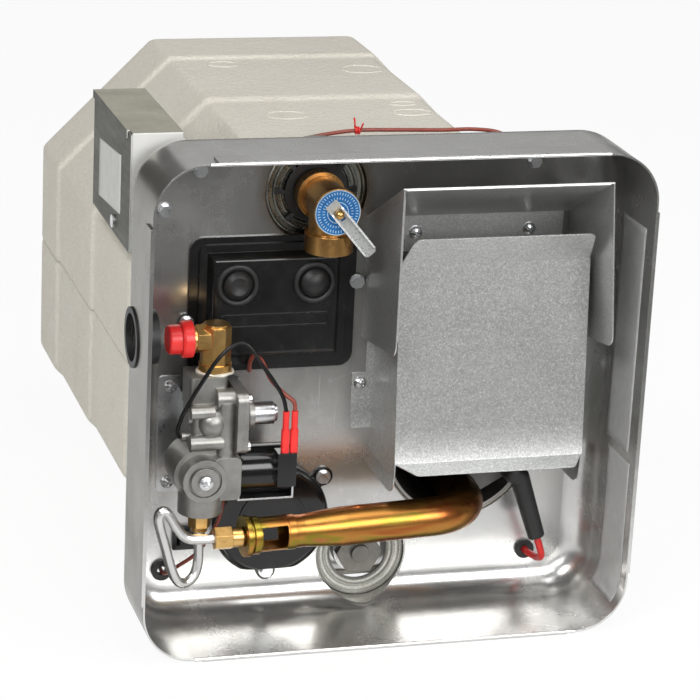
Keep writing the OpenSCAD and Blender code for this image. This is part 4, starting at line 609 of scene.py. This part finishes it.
TOP_ROUTE = ((-123, 40, 300), (-112, 38, 300.5), (-95, 32, 301.5), (-75, 27, 303), (-52, 27, 306),
             (-28, 30, 309.5), (-5, 33, 311), (20, 32, 311), (48, 27, 311.5), (70, 23, 312.5),
             (86, 18, 311), (97, 13, 304), (102, 10, 294), (104, 6.5, 285), (104, 3, 279))
LEAD_ROUTE = ((113, -27, 50), (116.2, -27, 41), (118, -25.5, 35), (118.2, -20, 31), (117, -13, 30),
              (115, -6, 30), (115, 4, 30))
WIRES = (("valve_wire_black", BLACK_ROUTE, WIRE_R, "wire_black"),
         ("valve_wire_brown", BROWN_ROUTE, WIRE_R, "wire_brown"),
         ("switch_wire", SWITCH_ROUTE, WIRE_R, "wire_brown"),
         ("top_wire", TOP_ROUTE, WIRE_R, "wire_brown"),
         ("ignition_lead", LEAD_ROUTE, LEAD_R, "lead_red"))


def wire(node, route, radius, slot):
    """An insulated wire along the route of its solid, as one smooth curve."""
    name = "insulated_" + node
    points = [at(*p) for p in route]
    data = round_line(name, radius, 4, closed_ends=True)
    data.resolution_u = 10
    spline = data.splines.new("BEZIER")
    spline.bezier_points.add(len(points) - 1)
    for i, knot in enumerate(spline.bezier_points):
        pull = (points[min(i + 1, len(points) - 1)] - points[max(i - 1, 0)]) / 6
        knot.handle_left_type = knot.handle_right_type = "FREE"
        knot.co = points[i]
        knot.handle_left = points[i] - pull
        knot.handle_right = points[i] + pull
    obj = add_piece(name, data, finishes[slot], stands_for=node)


for node, route, radius, slot in WIRES:
    wire(node, route, radius, slot)


# foam jacket

FILL_Y = (13, 15, 17, 19, 21, 23, 25)
FILL_IN = 137
FILL_Z = {"foam_jacket_upper": (184, 158.1), "foam_jacket_lower": (130, 157.9)}
BESIDE = 200
FOAM_VOXEL = 2.0
FOAM_ROUNDS = 7


def filled_wall(node):
    """The node's mesh with foam put back where its side walls run out in front of the tank."""
    mesh = nodes[node].data.copy()
    surface = surface_of(mesh)
    build = bmesh.new()
    build.from_mesh(mesh)
    sound, split = FILL_Z[node]
    for side in (-1, 1):
        outline = [(side * FILL_IN, FILL_Y[-1]), (side * FILL_IN, FILL_Y[0])]
        for y in FILL_Y:
            hit = surface.ray_cast(at(side * BESIDE, y, sound), Vector((-side, 0, 0)))[0]
            outline.append((hit.x / MM, y))
        first, last = [[build.verts.new(at(x, y, z)) for x, y in outline] for z in (sound, split)]
        faces = [build.faces.new(first), build.faces.new(last)]
        for i in range(len(outline)):
            faces.append(build.faces.new((first[i - 1], first[i], last[i], last[i - 1])))
        bmesh.ops.recalc_face_normals(build, faces=faces)
    build.to_mesh(mesh)
    build.free()
    return mesh


def soft_copy(node):
    """The node's own form with its edges rounded, as the mould leaves them."""
    obj = add_piece("moulded_" + node, filled_wall(node), finishes["foam"], stands_for=node)
    even = obj.modifiers.new("even", "REMESH")
    even.mode = "VOXEL"
    even.voxel_size = FOAM_VOXEL * MM
    even.use_smooth_shade = True
    soft = obj.modifiers.new("soft", "SMOOTH")
    soft.factor = 0.5
    soft.iterations = FOAM_ROUNDS


for half in FILL_Z:
    soft_copy(half)


# seal rings, as profiles of radius and y

TP_X, TP_Z = -39, 281
DRAIN_X, DRAIN_Z = 1.5, 33.5
TP_RING = ((32.6, 3.4), (31.8, 2.8), (30.8, 2.9), (30.0, 5.2), (27.8, 5.4), (27.2, 4.2), (26.0, 4.1),
           (25.4, 5.3), (23.6, 5.5), (23.0, 4.7), (22.0, 4.7), (21.4, 5.8), (16.5, 5.8), (16.5, 7.7),
           (32.6, 7.7))
DRAIN_RING = ((29.6, 3.4), (28.8, 2.8), (27.4, 2.9), (26.6, 4.4), (25.0, 4.6), (24.4, 3.8), (23.2, 3.9),
              (22.4, 5.6), (19.4, 6.2), (19.4, 7.7), (29.6, 7.7))
RING_STEPS = 72
RING_CREASE = 50


def lathe(name, x, z, profile, finish, stands_for):
    """A ring turned about the Y axis through x, z from a closed profile."""
    build = bmesh.new()
    rows = []
    for turn in part_turns(RING_STEPS):
        rows.append([build.verts.new(round_y(x, y, z, r, turn)) for r, y in profile])
    for i, row in enumerate(rows):
        after = rows[(i + 1) % RING_STEPS]
        for j in range(len(profile)):
            k = (j + 1) % len(profile)
            build.faces.new((row[j], after[j], after[k], row[k])).smooth = True
    add_piece(name, as_mesh(name, build, RING_CREASE), finish, stands_for=stands_for)


lathe("stepped_tp_seal", TP_X, TP_Z, TP_RING, finishes["ring_steel"], "tp_seal")
lathe("stepped_drain_seal", DRAIN_X, DRAIN_Z, DRAIN_RING, soiled_and_shaded_seal(), "drain_seal")


# toothed washer round the relief valve

WASHER_Y = 1.0
WASHER_T = 0.8
WASHER_INNER, WASHER_OUTER, WASHER_TIP = 13.3, 20.4, 26.6
WASHER_TEETH = 8
TOOTH_STEPS, TOOTH_WIDE = 6, 2
TOOTH_LEAN = 2.0


def star_washer(name):
    """A flat washer whose teeth reach out and lean back towards the ring behind it."""
    build = bmesh.new()
    steps = WASHER_TEETH * TOOTH_STEPS
    rows = []
    for i in range(steps):
        turn = 2 * math.pi * (i - 0.5) / steps
        row = [build.verts.new(round_y(TP_X, WASHER_Y, TP_Z, r, turn)) for r in (WASHER_INNER, WASHER_OUTER)]
        if i % TOOTH_STEPS < TOOTH_WIDE:
            row.append(build.verts.new(round_y(TP_X, WASHER_Y + TOOTH_LEAN, TP_Z, WASHER_TIP, turn)))
        rows.append(row)
    for i, row in enumerate(rows):
        after = rows[(i + 1) % steps]
        for j in range(min(len(row), len(after)) - 1):
            build.faces.new((row[j], after[j], after[j + 1], row[j + 1]))
    thicken(add_piece(name, as_mesh(name, build), finishes["black_rubber"]), WASHER_T)


star_washer("star_washer")


# screw in the gas valve's plug

SCREW_AT = (-120, -64.6, 115.5)
SCREW_AHEAD = Vector((0, -1, 0))
SCREW_R, SCREW_H = 4.4, 2.4
SCREW_TURN = 20
SCREW_CREASE = 35
DOME_FALL = 0.55
HEAD_LINES = (-1.0, -0.84, -0.62, -0.17, 0.17, 0.62, 0.84, 1.0)
CROSS_STRIP = 3
CROSS_CELLS = (2, 3, 4)
CROSS_TAPER, CROSS_DEPTH = 0.9, 0.5


def new_points(extruded):
    """The points among the parts that an extrusion made."""
    return [part for part in extruded["geom"] if isinstance(part, bmesh.types.BMVert)]


def pan_screw(name):
    """A domed screw head with a cross recess: a square grid drawn into a round, its cross pressed in."""
    build = bmesh.new()
    grid = []
    for v in HEAD_LINES:
        row = []
        for u in HEAD_LINES:
            x = u * math.sqrt(1 - v * v / 2)
            y = v * math.sqrt(1 - u * u / 2)
            z = SCREW_H * (1 - DOME_FALL * (x * x + y * y))
            row.append(build.verts.new((x * SCREW_R, y * SCREW_R, z)))
        grid.append(row)
    cross = []
    for j in range(len(HEAD_LINES) - 1):
        for i in range(len(HEAD_LINES) - 1):
            face = build.faces.new((grid[j][i], grid[j][i + 1], grid[j + 1][i + 1], grid[j + 1][i]))
            if CROSS_STRIP in (i, j) and i in CROSS_CELLS and j in CROSS_CELLS:
                cross.append(face)
    rim = [edge for edge in build.edges if edge.is_boundary]
    for vert in new_points(bmesh.ops.extrude_edge_only(build, edges=rim)):
        vert.co.z = 0
    for vert in new_points(bmesh.ops.extrude_face_region(build, geom=cross)):
        vert.co = (vert.co.x * CROSS_TAPER, vert.co.y * CROSS_TAPER, vert.co.z - SCREW_H * CROSS_DEPTH)
    bmesh.ops.delete(build, geom=cross, context="FACES_KEEP_BOUNDARY")
    spin = SCREW_AHEAD.to_track_quat("Z", "Y") @ Quaternion((0, 0, 1), math.radians(SCREW_TURN))
    for vert in build.verts:
        vert.co = at(*SCREW_AT) + (spin @ vert.co) * MM
    for face in build.faces:
        face.smooth = True
    add_piece(name, as_mesh(name, build, SCREW_CREASE), finishes["zinc_steel"])


pan_screw("plug_screw")


# rolled edges of the housing

HEM_R = 1.25
HEM_Y = -74.2
HEM_HALF = 126
HEM_STEPS = 24
HEM_Z = {"rolled_hem_top": 320.4, "rolled_hem_bottom": 1.6}


def rolled_hem(name, z):
    """The bright rolled fold along the front edge of the housing."""
    data = round_line(name, HEM_R, 4, closed_ends=True)
    spline = data.splines.new("POLY")
    spline.points.add(HEM_STEPS)
    for i, knot in enumerate(spline.points):
        knot.co = (*at(HEM_HALF * (2 * i / HEM_STEPS - 1), HEM_Y, z), 1)
    add_piece(name, data, finishes["bright_edge"])


for name, z in HEM_Z.items():
    rolled_hem(name, z)


# sealant on the gas valve's upper fitting, with waves of unlike pace so that no two lumps are alike

SEALANT_AT = (-109, -33, 177.6)
SEALANT_REACH = 10.4
SEALANT_R = 1.0
SEALANT_KNOTS = 14
LUMP_OUT, LUMP_OUT_PACE = 0.7, 3.1
DENT_OUT, DENT_OUT_PACE = 0.4, 5.3
LUMP_UP, LUMP_UP_PACE = 0.25, 2.3
LUMP_THICK, LUMP_THICK_PACE = 0.35, 4.7


def sealant_bead(name):
    """A squeezed out, uneven bead of thread sealant that lies round a fitting."""
    x, y, z = SEALANT_AT
    points = []
    for i, turn in enumerate(part_turns(SEALANT_KNOTS)):
        out = SEALANT_REACH + LUMP_OUT * math.sin(LUMP_OUT_PACE * i) + DENT_OUT * math.cos(DENT_OUT_PACE * i)
        rise = LUMP_UP * math.sin(LUMP_UP_PACE * i)
        points.append(at(x + out * math.cos(turn), y + out * math.sin(turn), z + rise))
    data = round_line(name, SEALANT_R, 3)
    data.resolution_u = 4
    spline = smooth_spline(data, points, closed=True)
    for i, knot in enumerate(spline.bezier_points):
        knot.radius = 1 + LUMP_THICK * math.sin(LUMP_THICK_PACE * i)
    add_piece(name, data, finishes["cream_sealant"])


sealant_bead("thread_sealant")


# marks of the mould in the foam, each by its middle and its half widths

MARK_R = 0.7
MARK_SINK = 0.2
MARK_KNOTS = 16
ABOVE = 400
MOULD_MARKS = ((-40, 250, 10.5, 8), (55, 228, 15, 11), (57, 136, 9, 5), (-30, 112, 14, 10), (56, 112, 13, 8))


def mould_mark(name, surface, x, y, half_x, half_y):
    """An oval ejector mark: a low rounded line laid on the foam's top."""
    points = []
    for turn in part_turns(MARK_KNOTS):
        above = at(x + half_x * math.cos(turn), y + half_y * math.sin(turn), ABOVE)
        hit = surface.ray_cast(above, Vector((0, 0, -1)))[0]
        points.append(hit - Vector((0, 0, MARK_SINK * MM)))
    data = round_line(name, MARK_R, 2)
    smooth_spline(data, points, closed=True)
    add_piece(name, data, finishes["foam"])


foam_top = surface_of(nodes["foam_jacket_upper"].data)
for number, mark in enumerate(MOULD_MARKS):
    mould_mark("mould_mark_%d" % number, foam_top, *mark)


# tie on the top wire, with its ends given from its middle

TIE_AT = (-5, 33, 311)
TIE_R, TIE_WIRE_R = 2.1, 0.55
TIE_START = ((-2.4, -0.6, 8.5), (-1.8, -0.8, 4.5))
TIE_END = ((2.0, -3.2, 2.6), (2.6, -4.2, 5.6))
TIE_STEPS, TIE_TURN_STEPS = 20, 8
TIE_FROM, TIE_PITCH = -1.5, 0.15


def wire_tie(name):
    """A twisted tie: two and a half turns round the wire with its ends standing up."""
    turns = []
    for i in range(TIE_STEPS + 1):
        turn = math.pi / 2 + 2 * math.pi * i / TIE_TURN_STEPS
        turns.append((TIE_FROM + TIE_PITCH * i, TIE_R * math.cos(turn), TIE_R * math.sin(turn)))
    x, y, z = TIE_AT
    points = [at(x + dx, y + dy, z + dz) for dx, dy, dz in (*TIE_START, *turns, *TIE_END)]
    data = round_line(name, TIE_WIRE_R, 2, closed_ends=True)
    smooth_spline(data, points)
    add_piece(name, data, finishes["red_plastic"])


wire_tie("wire_tie")


# blank stickers, each by a point before its corner and the ends of its two sides

LABEL_LIFT, LABEL_T = 0.15, 0.09
LABEL_ACROSS, LABEL_DOWN = 10, 30
LABEL_WAY = Vector((1, 0, 0))


def stuck_on(name, node, corner, across_to, down_to, finish):
    """A thin blank sticker: a grid of points thrown along X onto a node's surface, where it has one."""
    surface = surface_of(nodes[node].data)
    origin = at(*corner)
    across = at(*across_to) - origin
    down = at(*down_to) - origin
    build = bmesh.new()
    grid = []
    for j in range(LABEL_DOWN + 1):
        row = []
        for i in range(LABEL_ACROSS + 1):
            start = origin + across * (i / LABEL_ACROSS) + down * (j / LABEL_DOWN)
            hit, normal, _, _ = surface.ray_cast(start, LABEL_WAY)
            if hit is None:
                row.append(None)
                continue
            out = normal if normal.dot(LABEL_WAY) < 0 else -normal
            row.append(build.verts.new(hit + out * LABEL_LIFT * MM))
        grid.append(row)
    for j in range(LABEL_DOWN):
        for i in range(LABEL_ACROSS):
            four = (grid[j][i], grid[j][i + 1], grid[j + 1][i + 1], grid[j + 1][i])
            if None not in four:
                build.faces.new(four).smooth = True
    build.normal_update()
    mesh = bpy.data.meshes.new(name)
    build.to_mesh(mesh)
    build.free()
    thicken(add_piece(name, mesh, finish), LABEL_T)


foil = blank_label()
paper = paper_label()
stuck_on("blank_label_side", "control_housing", (100, -22, 268), (100, -62, 268), (100, -22, 118), foil)
stuck_on("blank_label_corner", "control_housing", (100, -27, 112), (100, -66, 112), (100, -27, 16), foil)
stuck_on("blank_label_box", "junction_box_cover", (-200, 28, 300), (-200, 96, 294), (-200, 28, 262), paper)


# floor, light and camera, in metres

FLOOR_HALF = 6.0
FLOOR_GLOW = 0.92
FLOOR_FRONT = 0.04
FADE_START, FADE_END = -0.43, -0.64
MIDDLE = Vector((0.0, -0.15, 0.16))
LAMPS = (("key", (-1.3, -1.6, 1.8), (0.9, 0.9), 36),
         ("low_front", (0.85, -2.45, 1.25), (1.6, 1.0), 42),
         ("top_front", (0.25, -0.75, 2.1), (1.3, 1.0), 17),
         ("top_back", (0.8, 2.2, 1.5), (2.4, 1.4), 4.8),
         ("front", (-0.3, -2.6, 0.6), (0.8, 0.5), 8),
         ("left", (-2.2, 0.1, 0.9), (1.2, 1.2), 7))
WORLD_LEVEL = 0.14
CAMERA_AT = Vector((-0.5166, -1.7953, 0.7590))
LOOK_AT = Vector((-0.0236, -0.1675, 0.1882))
CAMERA_ROLL = 2.83
CAMERA_LENS = 147.79


def studio_floor():
    """A floor that shows nearly white to the eye, and in metal white that fades to the front, and keeps the
    shadow."""
    h = FLOOR_HALF
    mesh = bpy.data.meshes.new("floor")
    mesh.from_pydata([(-h, -h, 0), (h, -h, 0), (h, h, 0), (-h, h, 0)], [], [(0, 1, 2, 3)])
    floor = bpy.data.objects.new("floor", mesh)
    scene.collection.objects.link(floor)
    material, tree, shader = new_material("studio_floor")
    point = place(tree)
    mottle = noise(tree, point, 3, 3)
    join(tree, shader, Base_Color=ramp(tree, mottle, (0.3, (0.86, 0.86, 0.855)), (0.7, (0.89, 0.89, 0.885))),
         Roughness=spread(tree, mottle, 0.7, 0.8))
    fade = spread(tree, axes(tree, point)["Y"], FLOOR_FRONT, 1.0, FADE_END, FADE_START)
    ray = put(tree, "ShaderNodeLightPath").outputs
    glow = put(tree, "ShaderNodeEmission", Strength=maths(tree, "MAXIMUM", ray["Is Camera Ray"], fade))
    mirrored = maths(tree, "ADD", ray["Is Glossy Ray"], ray["Is Transmission Ray"], clamp=True)
    seen = maths(tree, "ADD", ray["Is Camera Ray"], mirrored, clamp=True)
    mix = put(tree, "ShaderNodeMixShader", Fac=maths(tree, "MULTIPLY", seen, FLOOR_GLOW))
    feed(tree, mix.inputs[1], shader.outputs[0])
    feed(tree, mix.inputs[2], glow.outputs[0])
    feed(tree, tree.nodes["Material Output"].inputs["Surface"], mix.outputs[0])
    mesh.materials.append(material)


def softbox(name, stand, size, power):
    """A rectangular lamp that looks at the middle of the object."""
    lamp = bpy.data.lights.new(name, "AREA")
    lamp.shape = "RECTANGLE"
    lamp.size, lamp.size_y = size
    lamp.energy = power
    holder = bpy.data.objects.new(name, lamp)
    holder.location = stand
    holder.rotation_euler = (MIDDLE - Vector(stand)).to_track_quat("-Z", "Y").to_euler()
    scene.collection.objects.link(holder)


def studio_world():
    """Even white light from all sides."""
    world = bpy.data.worlds.new("studio")
    world.use_nodes = True
    sky = world.node_tree.nodes["Background"]
    sky.inputs["Color"].default_value = (1.0, 1.0, 1.0, 1)
    sky.inputs["Strength"].default_value = WORLD_LEVEL
    scene.world = world


def photo_camera():
    """The camera at the photograph's place."""
    data = bpy.data.cameras.new("photo_camera")
    data.lens = CAMERA_LENS
    data.sensor_width = 36.0
    data.clip_end = 50.0
    camera = bpy.data.objects.new("photo_camera", data)
    camera.location = CAMERA_AT
    aim = (LOOK_AT - CAMERA_AT).to_track_quat("-Z", "Y")
    camera.rotation_mode = "QUATERNION"
    camera.rotation_quaternion = aim @ Quaternion((0, 0, 1), math.radians(CAMERA_ROLL))
    scene.collection.objects.link(camera)
    scene.camera = camera


studio_floor()
for name, stand, size, power in LAMPS:
    softbox(name, stand, size, power)
studio_world()
photo_camera()
scene.view_settings.view_transform = "Standard"
